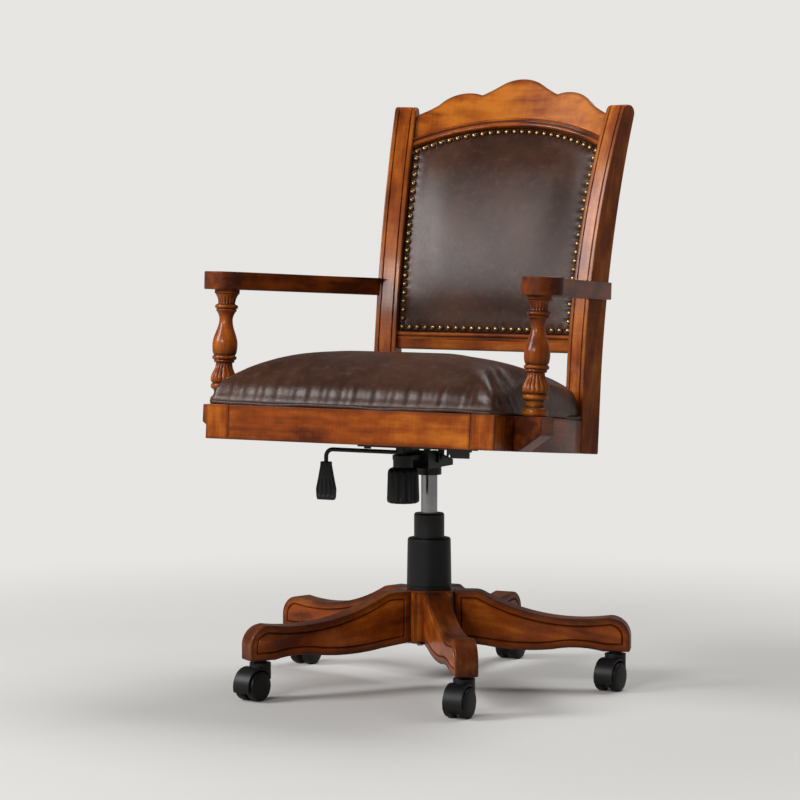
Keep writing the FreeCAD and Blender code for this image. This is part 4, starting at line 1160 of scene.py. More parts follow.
@dataclass
class Mechanism:
    """Tension knob, height paddle, tilt housing and seat plate."""

    knob_y: float = -97 * MM
    knob_low: float = 323 * MM
    knob_high: float = 383 * MM
    knob_foot: float = 27.4 * MM
    knob_head: float = 26 * MM
    ribs: int = 12
    rib_depth: float = 3.2 * MM
    steps: int = 144
    paddle_x: float = -178 * MM
    paddle_y: float = -42 * MM
    paddle_low: float = 315 * MM
    paddle_high: float = 381 * MM
    paddle_width: float = 36 * MM
    paddle_thick: float = 9 * MM
    paddle_edge: float = 1.6 * MM
    finger_grooves: int = 4
    finger_depth: float = 1.5 * MM
    rod_radius: float = 3.75 * MM
    rod_height: float = 402.5 * MM
    rod_inner: float = -14 * MM
    rod_low: float = 371 * MM
    rod_bend: float = 13 * MM
    finger_width: float = 10 * MM
    finger_top: float = 400 * MM
    finger_gap: float = 0.4 * MM
    plate_edge: float = 0.8 * MM

    def build(self) -> None:
        """Builds the knob and the paddle and eases the pressed plates."""
        self.knob = self.build_knob()
        self.paddle = self.build_paddle()
        self.lever = self.build_lever()
        self.housing = Bench.eased("tilt_housing", "housing", self.plate_edge, steps=2)
        self.plate = Bench.eased("seat_plate", "pressed_plate", self.plate_edge, steps=2)

    def build_knob(self) -> bpy.types.Object:
        """Turns the knob and presses the hollows between its ribs."""
        low, high, foot, head = self.knob_low, self.knob_high, self.knob_foot, self.knob_head
        levels = 12
        wall = []
        for step in range(levels + 1):
            share = step / levels
            wall.append((foot + (head - foot) * share, low + 6 * MM + (high - low - 14 * MM) * share))
        outline = [
            (0, low + 2 * MM), (8 * MM, low + 2 * MM), (9 * MM, low), (foot - 4 * MM, low),
            (foot - 1.6 * MM, low + 1 * MM), (foot - 0.3 * MM, low + 3.2 * MM), *wall,
            (head - 1.2 * MM, high - 4 * MM), (head - 4 * MM, high - 1.4 * MM), (head - 8 * MM, high),
            (0, high),
        ]
        knob = Bench.lathe("knob", outline, self.steps)
        x, y, z = Bench.places(knob).T
        wave = 0.5 - 0.5 * np.cos(self.ribs * np.arctan2(y, x))
        rise = np.clip((z - low) / (9 * MM), 0.45, 1) * np.clip((high - z) / (7 * MM), 0, 1)
        outer = np.clip((np.hypot(x, y) - head * 0.75) / (head * 0.2), 0, 1)
        Bench.press(knob, self.rib_depth * wave ** 1.6 * rise * outer)
        Bench.shift(knob, Matrix.Translation((0, self.knob_y, 0)))
        Bench.smooth(knob, 40, False)
        return knob

    def build_paddle(self) -> bpy.types.Object:
        """Shapes the paddle from a block, narrow at the rod, with finger grooves on its lower half."""
        length = self.paddle_high - self.paddle_low
        middle = (self.paddle_x, self.paddle_y, (self.paddle_low + self.paddle_high) / 2)
        paddle = Bench.block("paddle", middle, (self.paddle_width, self.paddle_thick, length))
        with Bench.editing(paddle):
            bpy.ops.mesh.select_all(action="SELECT")
            bpy.ops.mesh.subdivide(number_cuts=29)
        places = Bench.places(paddle)
        share = (self.paddle_high - places[:, 2]) / length
        width = np.interp(share, (0, 0.1, 0.45, 0.72, 0.93, 1.0), (0.5, 0.52, 0.78, 1.0, 0.95, 0.84))
        across = (places[:, 0] - self.paddle_x) / (self.paddle_width / 2)
        places[:, 0] = self.paddle_x + across * width * self.paddle_width / 2
        fade = np.clip((share - 0.42) / 0.1, 0, 1) * np.clip((0.92 - share) / 0.06, 0, 1)
        ridge = 0.5 - 0.5 * np.cos(np.pi * self.finger_grooves * (across + 1))
        inner = np.clip((0.92 - np.abs(across)) / 0.1, 0, 1)
        out = places[:, 1] - self.paddle_y
        face = np.sign(out) * (np.abs(out) > self.paddle_thick * 0.45)
        places[:, 1] -= face * self.finger_depth * ridge * fade * inner
        Bench.move_to(paddle, places)
        Bench.apply(paddle, "BEVEL", width=self.paddle_edge, segments=2, limit_method="ANGLE",
                    angle_limit=math.radians(60))
        Bench.smooth(paddle, 50, False)
        return paddle

    def build_lever(self) -> bpy.types.Object:
        """Bends the lever's rod and joins it to the finger over the valve pin."""
        x, y, z, bend = self.paddle_x, self.paddle_y, self.rod_height, self.rod_bend
        path = [Vector((self.rod_inner, y, z))]
        for step in range(9):
            turn = math.pi / 2 * step / 8
            path.append(Vector((x + bend * (1 - math.sin(turn)), y, z - bend * (1 - math.cos(turn)))))
        path.append(Vector((x, y, self.rod_low)))
        rod = Bench.tube("lever_bar", path, self.rod_radius)
        half = self.finger_width / 2
        low = Vector((self.rod_inner - half, y - half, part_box("valve_pin")[1].z + self.finger_gap))
        high = Vector((half, half, self.finger_top))
        finger = Bench.block("lever_finger", (low + high) / 2, high - low)
        lever = Bench.join([rod, finger], "lever_rod")
        Bench.smooth(lever, 40)
        return lever

    def dress(self) -> None:
        """Gives the pieces their plastic, paint and plating."""
        Bench.dress(self.lever, Finish.BLACK_STEEL, "lever", "height_lever")
        Bench.dress(self.knob, Finish.PLASTIC, "knob", "tension_knob")
        Bench.dress(self.paddle, Finish.PLASTIC, "lever", "lever_paddle")
        Bench.dress(self.housing, Finish.BLACK_STEEL, "lift", "tilt_housing")
        Bench.dress(self.plate, Finish.BLACK_STEEL, "seat", "seat_plate")


# Seat frame and arms


@dataclass
class SeatFrame:
    """Rails round the seat, their corner posts and the blocks that carry the arms."""

    edge: float = 1.6 * MM
    band: float = 4 * MM
    lengthwise: dict[str, Point] = field(default_factory=lambda: {
        "front_rail": (1, 0, 0), "rear_rail": (1, 0, 0), "side_rail_left": (0.12, 1, -0.09),
        "side_rail_right": (-0.12, 1, -0.09), "corner_posts": (0, 0.09, 1), "arm_blocks": (0, 1, -0.09)})
    # Painted shade: the side rails, and less the arm blocks, are stained darker for their shaded sides; the
    # other tones are the wood's own.
    tones_and_shade: dict[str, float] = field(default_factory=lambda: {
        "front_rail": -0.02, "corner_posts": 0.02, "arm_blocks": -0.06, "side_rail_left": -0.1,
        "side_rail_right": -0.1})
    pieces: dict[str, bpy.types.Object] = field(default_factory=dict)

    def build(self) -> None:
        """Eases the rails and blocks."""
        for node in self.lengthwise:
            self.pieces[node] = Bench.eased(node, f"eased_{node}", self.edge, band=self.band,
                                            whole=node.startswith("side"), glaze=0.5)

    def dress(self) -> None:
        """Stains each piece along its grain, the side rails and arm blocks darker as painted shade."""
        for index, (node, piece) in enumerate(self.pieces.items()):
            Bench.grain(piece, Vector(self.lengthwise[node]), 7.0 + 1.7 * index, self.tones_and_shade.get(node, 0.0))
            Bench.dress(piece, Finish.CHERRY, "seat", node)


@dataclass
class Arms:
    """Turned and fluted posts under flat arms with round pads."""

    post_x: float = 291.5 * MM
    post_y: float = -203.7 * MM
    low: float = 57.5 * MM
    high: float = 253 * MM
    sunk: float = 1 * MM
    flutes: int = 16
    flute_depth: float = 1.7 * MM
    steps: int = 192
    row: float = 1.2 * MM
    edge: float = 1.4 * MM
    band: float = 3 * MM
    # Painted shade: the arm tops are stained darker for their shaded sides.
    tone: float = -0.1

    def rows(self) -> list[tuple[float, float, Flow, float]]:
        """Radius in mm, share of the height, run to the next row and darkening, from the foot to the cap;
        the darkening is glazing and painted shade in the creases between beads.
        """
        straight, swell, fall, wave, flare = Flow
        foot = [(0, 0, straight, 0), (18.5, 0, swell, 0.6), (21.6, 0.03, fall, 0),
                (16.6, 0.076, straight, 0.9), (15.6, 0.08, wave, 1), (15.2, 0.105, wave, 0.3),
                (16, 0.13, straight, 0.9)]
        bead = [(17.6, 0.134, swell, 0.9), (21.2, 0.16, fall, 0), (18.2, 0.184, straight, 1)]
        bulb = [(18.6, 0.188, swell, 1), (21.8, 0.222, wave, 0), (14.2, 0.352, straight, 0.3),
                (14, 0.362, straight, 1)]
        ring = [(17.2, 0.368, straight, 0.8), (17.4, 0.382, straight, 0.3), (17, 0.386, straight, 1),
                (18, 0.389, swell, 0.8), (20.7, 0.406, fall, 0), (18.4, 0.424, straight, 0.9)]
        vase = [(17.9, 0.428, straight, 1), (18.2, 0.432, swell, 0.6), (21.3, 0.517, wave, 0),
                (11.4, 0.735, flare, 0), (16.4, 0.806, straight, 0.5)]
        collar = [(17.4, 0.81, straight, 0.6), (17.4, 0.822, straight, 0.3),
                  (16.4, 0.826, straight, 1), (17, 0.829, swell, 0.8), (19.6, 0.846, fall, 0),
                  (17, 0.864, straight, 0.9)]
        cove = [(14.6, 0.87, straight, 1), (14.4, 0.876, flare, 0.5), (19, 0.95, straight, 0.4)]
        cap = [(19.2, 0.955, straight, 1), (20.6, 0.958, swell, 0.8), (21.2, 0.966, straight, 0.3),
               (21.2, 1, straight, 0.4), (0, 1, straight, 0)]
        return foot + bead + bulb + ring + vase + collar + cove + cap

    def outline(self) -> list[tuple[float, float, float]]:
        """Half section of the post, from its foot to its cap."""
        rows = self.rows()
        length = self.high + self.sunk - self.low
        outline = []
        for (radius, share, flow, glaze), (after, upper, _, next_glaze) in zip(rows, rows[1:]):
            span = (upper - share) * length
            count = 1 if flow is Flow.STRAIGHT else max(6, round(span / self.row))
            for step in range(count):
                part = step / count
                across = (radius + (after - radius) * flow.share(part)) * MM
                height = self.low + share * length + span * part
                outline.append((across, height, glaze + (next_glaze - glaze) * part))
        return outline + [(0, self.low + length, 0)]

    def build(self) -> None:
        """Turns one post, carves its bulb and cove, and eases the arms."""
        post = Bench.lathe("arm_post_turned_right", self.outline(), self.steps)
        x, y, z = Bench.places(post).T
        share = (z - self.low) / (self.high - self.low)
        bulb = np.sin(np.pi * np.clip((share - 0.188) / 0.17, 0, 1)) ** 0.4
        cove = np.sin(np.pi * np.clip((share - 0.866) / 0.072, 0, 1)) ** 0.5
        cut = 1 - np.abs(np.sin(self.flutes * np.arctan2(y, x) / 2))
        Bench.press(post, self.flute_depth * cut * (bulb + 0.9 * cove) * (np.hypot(x, y) > 5 * MM))
        # Painted shade as well as glazing: the flutes' hollows are darkened, most at their floors.
        glaze = post.data.attributes["glaze"].data
        carved = (bulb + cove) * cut ** 1.5
        for index in np.flatnonzero(carved > 0.2):
            glaze[int(index)].value = max(glaze[int(index)].value, float(carved[index]))
        Bench.shift(post, seat_place() @ Matrix.Translation((self.post_x, self.post_y, 0)))
        Bench.smooth(post, 50, False)
        self.posts = {Side.RIGHT: post, Side.LEFT: Bench.mirror(post, "arm_post_turned_left")}
        self.tops = {}
        for side in Side:
            self.tops[side] = Bench.eased(f"arm_{side.word}", f"arm_top_{side.word}", self.edge,
                                          band=self.band, glaze=0.3)

    def dress(self) -> None:
        """Stains the posts upwards and the arms along their length, the arms darker as painted shade."""
        for side in Side:
            Bench.grain(self.posts[side], Vector((0, 0.09, 1)), 20.0 + side.value)
            Bench.dress(self.posts[side], Finish.CHERRY, "seat", f"arm_post_{side.word}")
            along = Vector((-0.15 * side.value, 1, -0.05))
            Bench.grain(self.tops[side], along, 24.0 + side.value, self.tone)
            Bench.dress(self.tops[side], Finish.CHERRY, "seat", f"arm_{side.word}")


# Back


@dataclass
class BackFrame:
    """Swept posts, shaped crest and lower rail, with their mouldings."""

    post_inner: float = 168 * MM
    post_front: float = 184.6 * MM
    turn: float = math.radians(14)
    post_height: float = 615 * MM
    bend: float = 138 * MM
    sweep: float = 85 * MM
    set_back: float = 8 * MM
    spring: float = 539 * MM
    lean: float = math.radians(16)
    arch_rise: float = 50 * MM
    bow: float = 27 * MM
    rail_high: float = 205 * MM
    edge: float = 2.2 * MM
    band: float = 5 * MM
    least_face: float = 50 * MM * MM
    groove_inset: float = 4.6 * MM
    groove_width: float = 3 * MM
    groove_depth: float = 2 * MM
    bead: float = 4.2 * MM
    bead_out: float = 2.9 * MM
    sunk: float = 1 * MM
    lap: float = 2 * MM
    rail_share: float = 0.8
    runs: int = 64
    posts: dict[Side, bpy.types.Object] = field(default_factory=dict)
    beads: list[bpy.types.Object] = field(default_factory=list)

    def opening(self, height: float) -> tuple[float, float]:
        """Half-width between the posts, and depth of the rails' faces, at a height on the seat."""
        rise = max(0.0, height - self.bend)
        span = self.post_height - self.bend
        radius = (self.sweep ** 2 + span ** 2) / (2 * self.sweep)
        back = radius - math.sqrt(radius ** 2 - rise ** 2)
        inner = self.post_inner + back * math.sin(self.turn) + self.set_back * math.tan(self.turn)
        return inner, self.post_front + back * math.cos(self.turn) + self.set_back

    def section(self) -> list[tuple[float, float, float]]:
        """Section of the moulding: how far out and how far from the edge each point is, and its darkening,
        glazing and painted shade that is deepest in the groove.
        """
        rows = [(-self.sunk, 0.3 * MM, 0.6), (0.5 * MM, 0.3 * MM, 0.7)]
        for step in range(9):
            turn = math.radians(75) * (step / 4 - 1)
            rows.append((0.3 * MM + self.bead_out * math.cos(turn), 5 * MM + self.bead * math.sin(turn),
                         0.75 * abs(math.sin(turn)) ** 4))
        groove = [(0.3, 9.5, 1), (0.15, 10.2, 1), (0.15, 11.9, 1), (0.5, 12.2, 1)]
        fillet = [(1.5, 12.7, 0.1), (1.7, 13.3, 0), (1.3, 14.3, 0), (0.1, 17, 0)]
        rows += [(out * MM, above * MM, glaze) for out, above, glaze in groove + fillet]
        return rows + [(-self.sunk, 17 * MM, 0)]

    def crest_rows(self) -> list[list[Vector]]:
        """The moulding's section at places along the crest's arched lower edge, on its bowed face."""
        reach, depth = self.opening(self.spring)
        foot = Matrix.Translation((0, depth, self.spring))
        place = seat_place() @ foot @ Matrix.Rotation(-self.lean, 4, "X")
        arch = (reach ** 2 + self.arch_rise ** 2) / (2 * self.arch_rise)
        bow = (reach ** 2 + self.bow ** 2) / (2 * self.bow)
        end = math.asin((reach + self.lap) / arch)
        rows = []
        for step in range(self.runs + 1):
            angle = end * (2 * step / self.runs - 1)
            row = []
            for out, above, _ in self.section():
                x = (arch + above) * math.sin(angle)
                front = self.bow - bow + math.sqrt(bow ** 2 - x ** 2)
                height = self.arch_rise - arch + (arch + above) * math.cos(angle)
                row.append(place @ Vector((x, front - out, height)))
            rows.append(row)
        return rows

    def rail_rows(self) -> list[list[Vector]]:
        """The moulding's section, smaller and turned over, along the lower rail's top edge."""
        reach, depth = self.opening(self.rail_high)
        share = self.rail_share
        return [[seat_place() @ Vector((x, depth - out * share, self.rail_high - above * share))
                 for out, above, _ in self.section()] for x in (-reach - self.lap, 0, reach + self.lap)]

    def build(self) -> None:
        """Eases the posts and rails, grooves the posts and lays the mouldings."""
        for side in Side:
            post = Bench.copy_of(f"back_post_{side.word}", f"upright_{side.word}")
            Bench.ease(post, self.edge, glaze=0.3)
            with Bench.editing(post):
                Bench.choose(post, "faces", lambda face: self.is_front(face, side))
                Bench.groove(post, self.groove_inset, self.groove_width, self.groove_depth, True)
            Bench.smooth(post)
            self.posts[side] = post
        self.crest = Bench.eased("crest_rail", "crest", self.edge, band=self.band, whole=True, glaze=0.6)
        self.rail = Bench.eased("lower_back_rail", "lower_rail", self.edge, band=self.band, glaze=0.5)
        glazes = [glaze for _, _, glaze in self.section()]
        self.beads = [Bench.sweep("crest_moulding", self.crest_rows(), glazes),
                      Bench.sweep("rail_moulding", self.rail_rows(), glazes)]

    def is_front(self, face: bmesh.types.BMFace, side: Side) -> bool:
        """Whether a face belongs to a post's front, its rounded top or its back."""
        level = Vector((math.cos(self.turn), -side.value * math.sin(self.turn), 0))
        across = seat_place().to_3x3() @ level
        large = face.normal.z > -0.8 and face.calc_area() > self.least_face
        return abs(face.normal.dot(across)) < 0.03 and (large or face.normal.z > 0.1)

    def dress(self) -> None:
        """Stains the posts upwards and the rails across."""
        for side, post in self.posts.items():
            Bench.grain(post, Vector((0.05 * side.value, 0.26, 1)), 30.0 + side.value, 0.04)
            Bench.dress(post, Finish.CHERRY, "seat", f"back_post_{side.word}")
        rails = ((self.crest, "crest_rail", 34.0, 0.1), (self.rail, "lower_back_rail", 36.0, 0.0))
        for piece, node, seed, tone in rails:
            Bench.grain(piece, Vector((1, 0, 0)), seed, tone)
            Bench.dress(piece, Finish.CHERRY, "seat", node)
        for index, bead in enumerate(self.beads):
            Bench.smooth(bead, 50)
            Bench.grain(bead, Vector((1, 0, 0)), 38.0 + index, -0.02)
            Bench.dress(bead, Finish.CHERRY, "seat")


# Upholstery


@dataclass
class SeatCushion:
    """Crowned leather cushion, gathered along its front edge, with a welt round its foot."""

    voxel: float = 6 * MM
    shrink: float = 1.5 * MM
    pressure: float = 4.0
    cap: float = 7 * MM
    foot: float = 57.8 * MM
    hold_height: float = 10 * MM
    gather_low: float = 8 * MM
    gather_high: float = 52 * MM
    gather_depth: float = 1.8 * MM
    gather_side: float = 235 * MM
    side_lift: float = 18 * MM
    flare: float = 7 * MM
    flare_height: float = 18 * MM
    welt_radius: float = 3.2 * MM
    half_width: float = 263.5 * MM
    front: float = -295.9 * MM
    corner: float = 13 * MM
    swell_x: float = 248.1 * MM
    rear_half_width: float = 203.5 * MM
    welt_end: float = 170 * MM
    welt_wave: float = 1.1 * MM

    def build(self) -> None:
        """Swells the cushion and gathers its edge, then lays the welt."""
        cushion = Bench.remeshed("seat_cushion", "cushion", self.voxel)
        Bench.move_to(cushion, Bench.places(cushion) - Bench.facings(cushion) * self.shrink)
        local = self.seat_places(cushion)
        held = local[:, 2] < self.foot + self.hold_height
        Bench.inflate(cushion, self.voxel, self.pressure, self.cap, held)
        Bench.apply(cushion, "SMOOTH", factor=0.5, iterations=3)
        self.fill_out(cushion)
        Bench.subdivide(cushion)
        self.gather(cushion)
        Bench.smooth(cushion, 180, False)
        self.cushion = cushion
        self.welt = self.build_welt()

    @staticmethod
    def seat_places(piece: bpy.types.Object) -> np.ndarray:
        """Vertex places along the seat's own axes."""
        return carried(Bench.places(piece), seat_place().inverted())

    def fill_out(self, cushion: bpy.types.Object) -> None:
        """Fills out the sides and draws the foot of the front and the sides out to the welt."""
        local = self.seat_places(cushion)
        outer = np.clip((np.abs(local[:, 0]) - 110 * MM) / (120 * MM), 0, 1)
        behind = np.clip((local[:, 1] + 230 * MM) / (130 * MM), 0, 1)
        above = np.clip((local[:, 2] - self.foot - 14 * MM) / (26 * MM), 0, 1)
        local[:, 2] += self.side_lift * outer ** 1.5 * behind ** 2 * (3 - 2 * behind) * above
        low = np.clip(1 - (local[:, 2] - self.foot) / self.flare_height, 0, 1)
        low *= np.clip((120 * MM - local[:, 1]) / (60 * MM), 0, 1)
        local[:, 0] *= 1 + low * self.flare / self.half_width
        local[:, 1] += np.where(local[:, 1] < 0, local[:, 1] * low * self.flare / -self.front, 0)
        Bench.move_to(cushion, carried(local, seat_place()))

    def gather(self, cushion: bpy.types.Object) -> None:
        """Puckers the leather where it is drawn down over the front and the sides."""
        local = self.seat_places(cushion)
        rise = local[:, 2] - self.foot
        middle = (self.gather_low + self.gather_high) / 2
        half = (self.gather_high - self.gather_low) / 2
        level = np.exp(-((rise - middle) / half) ** 2)
        beside = np.abs(local[:, 0]) > self.gather_side
        along = np.where(beside, local[:, 1] + np.sign(local[:, 0]) * 0.7, local[:, 0])
        folds = (np.sin(along * 210 + 1.3) + 0.8 * np.sin(along * 340 + np.sin(along * 31) * 2.0)
                 + 0.5 * np.sin(along * 520 + 0.4)) / 2.3
        facings = Bench.facings(cushion)
        outward = np.clip(1 - facings[:, 2] * 0.9, 0, 1)
        front = np.clip((-local[:, 1] - 60 * MM) / (160 * MM), 0.15, 1)
        depth = self.gather_depth * folds * level * outward * front
        Bench.move_to(cushion, Bench.places(cushion) + facings * depth[:, None])

    def build_welt(self) -> bpy.types.Object:
        """Lays the welt on the rails, from one back post round the front to the other."""
        turn, runs = 8, 14
        start = self.front + self.corner
        ends = (self.welt_end, (self.welt_end + start) / 2, start)
        bow = np.polyfit(ends, (self.rear_half_width, self.swell_x, self.half_width), 2)
        side = [(float(np.polyval(bow, y)), float(y)) for y in np.linspace(self.welt_end, start, runs)]
        for step in range(1, turn + 1):
            angle = math.pi / 2 * step / turn
            side.append((self.half_width - self.corner + self.corner * math.cos(angle),
                         start - self.corner * math.sin(angle)))
        across = [(float(x), self.front) for x in np.linspace(side[-1][0], -side[-1][0], 2 * runs)[1:-1]]
        outline = side + across + [(-x, y) for x, y in reversed(side)]
        place = seat_place()
        path = []
        for x, y in outline:
            along = x - y
            wave = self.welt_wave * (math.sin(along * 29 + 0.6) + 0.5 * math.sin(along * 67))
            path.append(place @ Vector((x, y, self.foot + self.welt_radius * 0.8 + wave)))
        return Bench.tube("cushion_welt", path, self.welt_radius)

    def dress(self) -> None:
        """Covers the cushion and its welt in leather."""
        Bench.dress(self.cushion, Finish.LEATHER, "seat", "seat_cushion")
        Bench.smooth(self.welt, 60, False)
        Bench.dress(self.welt, Finish.LEATHER, "seat")


@dataclass
class BackUpholstery:
    """Leather pad of the back, its rear cover and the strip of nails round the pad."""

    voxel: float = 5 * MM
    shrink: float = 0.8 * MM
    pressure: float = 4.0
    cap: float = 9 * MM
    held_reach: float = 7 * MM
    nail_radius: float = 4.6 * MM
    nail_height: float = 3.4 * MM
    nail_steps: int = 12
    puff: float = 9 * MM
    puff_reach: float = 34 * MM
    soft: float = 18 * MM
    dimple_depth: float = 1.6 * MM
    dimple_reach: float = 9 * MM
    ridge: float = 1.3 * MM
    ridge_reach: float = 20 * MM
    pleat_length: float = 8 * MM
    pleat_width: float = 1.7 * MM
    pleat_height: float = 2.8 * MM
    pleat_edge: float = 0.7 * MM
    rear_swell: float = 5 * MM
    rear_voxel: float = 3 * MM

    def build(self) -> None:
        """Finds the nails, then makes the pad, the nail strip and the rear cover."""
        self.spots = self.find_nails()
        self.pad = self.build_pad()
        self.nails, self.pleats = self.build_nails()
        self.rear = self.build_rear()

    def find_nails(self) -> list[tuple[Vector, Vector]]:
        """Seat and facing of every nail, in order round the pad."""
        source = Bench.copy_of("nail_heads", "nail_seats")
        mesh = bmesh.new()
        mesh.from_mesh(source.data)
        spots = []
        left = set(mesh.verts)
        while left:
            island = [left.pop()]
            for vertex in island:
                for edge in vertex.link_edges:
                    other = edge.other_vert(vertex)
                    if other in left:
                        left.remove(other)
                        island.append(other)
            rows = np.array([vertex.co for vertex in island])
            middle = rows.mean(axis=0)
            facing = np.linalg.svd(rows - middle)[2][2]
            facing *= -np.sign(facing[1])
            height = (rows - middle) @ facing
            rim = rows[height < height.min() + 0.1 * MM]
            spots.append((Vector(rim.mean(axis=0)), Vector(facing)))
        mesh.free()
        bpy.data.objects.remove(source)
        matrix = seat_place().inverted()
        hub = sum((matrix @ seat for seat, _ in spots), Vector()) / len(spots)
        return sorted(spots, key=lambda spot: math.atan2(*((matrix @ spot[0] - hub).xz)))

    def build_pad(self) -> bpy.types.Object:
        """Swells the pad and draws it in at the nails."""
        pad = Bench.remeshed("back_pad", "pad", self.voxel)
        Bench.move_to(pad, Bench.places(pad) - Bench.facings(pad) * self.shrink)
        seats = np.array([seat for seat, _ in self.spots])
        held = self.nearest(Bench.places(pad), seats)[0] < self.held_reach
        held |= Bench.facings(pad)[:, 1] > -0.3
        Bench.inflate(pad, self.voxel, self.pressure, self.cap, held)
        Bench.apply(pad, "SMOOTH", factor=0.5, iterations=2)
        Bench.subdivide(pad)
        places, facings = Bench.places(pad), Bench.facings(pad)
        first, second, inside = self.nearest(places, seats)
        front = np.clip(-facings[:, 1] * 2 - 0.4, 0, 1)
        between = 1 - (second - first) / (second + first)
        lift = self.ridge * between * np.exp(-(first / self.ridge_reach) ** 2)
        lift -= self.dimple_depth * np.exp(-(first / self.dimple_reach) ** 2)
        lift += self.puff * (1 - np.exp(-(inside / self.puff_reach) ** 2))
        Bench.move_to(pad, places + facings * (lift * front)[:, None])
        Bench.smooth(pad, 180, False)
        return pad

    def nearest(self, places: np.ndarray, seats: np.ndarray) -> np.ndarray:
        """Measures how near each place is to the nails.

        Args:
            places: Rows of places.
            seats: Rows of the nails' seats.

        Returns:
            Distances to the nearest nail, to the next nearest one and, softly, to the whole strip.
        """
        near = np.empty((3, len(places)))
        batch = 4000
        for start in range(0, len(places), batch):
            part = slice(start, start + batch)
            gaps = np.sort(np.linalg.norm(places[part, None] - seats[None], axis=2), axis=1)
            near[:2, part] = gaps[:, :2].T
            near[2, part] = -self.soft * np.log(np.exp(-gaps / self.soft).sum(axis=1))
        near[2] = np.maximum(near[2] + self.soft, 0)
        return near

    def build_nails(self) -> tuple[bpy.types.Object, bpy.types.Object]:
        """Copies one domed nail to every seat, and a pleat of the leather between it and the next."""
        radius, height = self.nail_radius, self.nail_height
        rim = [(0, 0, 1), (0.9, 0, 1), (1, 0.16, 0.9), (0.9, 0.42, 0.15)]
        crown = [(0.64, 0.76, 0), (0.3, 0.95, 0), (0, 1, 0)]
        outline = [(across * radius, up * height, glaze) for across, up, glaze in rim + crown]
        nail = Bench.lathe("nail", outline, self.nail_steps)
        size = (self.pleat_width, self.pleat_length, self.pleat_height)
        pleat = Bench.block("pleat", (0, 0, 0), size)
        with Bench.editing(pleat, "EDGE"):
            bpy.ops.mesh.select_all(action="SELECT")
            bpy.ops.mesh.bevel(offset=self.pleat_edge, segments=2, affect="EDGES", clamp_overlap=False)
        domes, folds = [], []
        for index, (seat, facing) in enumerate(self.spots):
            after, other = self.spots[(index + 1) % len(self.spots)]
            dome = Bench.twin(nail, f"nail_{index}")
            upright = facing.to_track_quat("Z", "Y").to_matrix().to_4x4()
            Bench.shift(dome, Matrix.Translation(seat) @ upright)
            domes.append(dome)
            along = (after - seat).normalized()
            up = ((facing + other) / 2).normalized()
            across = up.cross(along).normalized()
            turn = Matrix((along, across, along.cross(across))).transposed().to_4x4()
            fold = Bench.twin(pleat, f"pleat_{index}")
            Bench.shift(fold, Matrix.Translation((seat + after) / 2) @ turn)
            folds.append(fold)
        bpy.data.objects.remove(nail)
        bpy.data.objects.remove(pleat)
        nails, pleats = Bench.join(domes, "nail_strip"), Bench.join(folds, "nail_pleats")
        Bench.smooth(nails, 50, False)
        Bench.smooth(pleats, 60, False)
        return nails, pleats

    def build_rear(self) -> bpy.types.Object:
        """Swells the rear cover's outside."""
        rear = Bench.remeshed("rear_panel", "rear_cover", self.rear_voxel)
        places, facings = Bench.places(rear), Bench.facings(rear)
        local = carried(places, seat_place().inverted())
        low, high = local.min(axis=0), local.max(axis=0)
        edge_x = 1 - np.abs(local[:, 0]) / high[0]
        edge_z = np.minimum(local[:, 2] - low[2], high[2] - local[:, 2]) / ((high[2] - low[2]) / 2)
        swell = np.clip(edge_x * 3, 0, 1) * np.clip(edge_z * 3, 0, 1) * np.clip(facings[:, 1], 0, 1)
        Bench.move_to(rear, places + facings * (self.rear_swell * swell)[:, None])
        Bench.apply(rear, "SMOOTH", factor=0.5, iterations=4)
        Bench.smooth(rear, 60, False)
        return rear

    def dress(self) -> None:
        """Covers the pads in leather and gives the nails their brass."""
        Bench.dress(self.pad, Finish.LEATHER, "seat", "back_pad")
        Bench.dress(self.rear, Finish.LEATHER, "seat", "rear_panel")
        Bench.dress(self.nails, Finish.BRASS, "seat", "nail_heads")
        Bench.dress(self.pleats, Finish.LEATHER, "seat")


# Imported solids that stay


@dataclass
class PlainNodes:
    """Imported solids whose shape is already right."""

    by_finish: dict[Finish, tuple[str, ...]] = field(default_factory=lambda: {
        Finish.TIMBER: ("mount_battens", "seat_board"),
        Finish.BLACK_STEEL: ("plate_screws", "tension_bolt", "tilt_pivot_pins"),
        Finish.BRIGHT_STEEL: ("pressure_tube", "piston_rod", "valve_pin"),
        Finish.ZINC_STEEL: ("hub_plate", "hub_screws", "castor_sockets", "thrust_bearing",
                            "tension_spring"),
        Finish.GUIDE: ("guide_bush",)})

    def dress(self) -> None:
        """Paints each solid."""
        for finish, names in self.by_finish.items():
            for name in names:
                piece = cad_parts[name]
                if not piece.material_slots:
                    Bench.hold(piece)
                    bpy.ops.object.material_slot_add()
                piece.material_slots[0].link = "OBJECT"
                piece.material_slots[0].material = Paint.of(finish)


# Studio


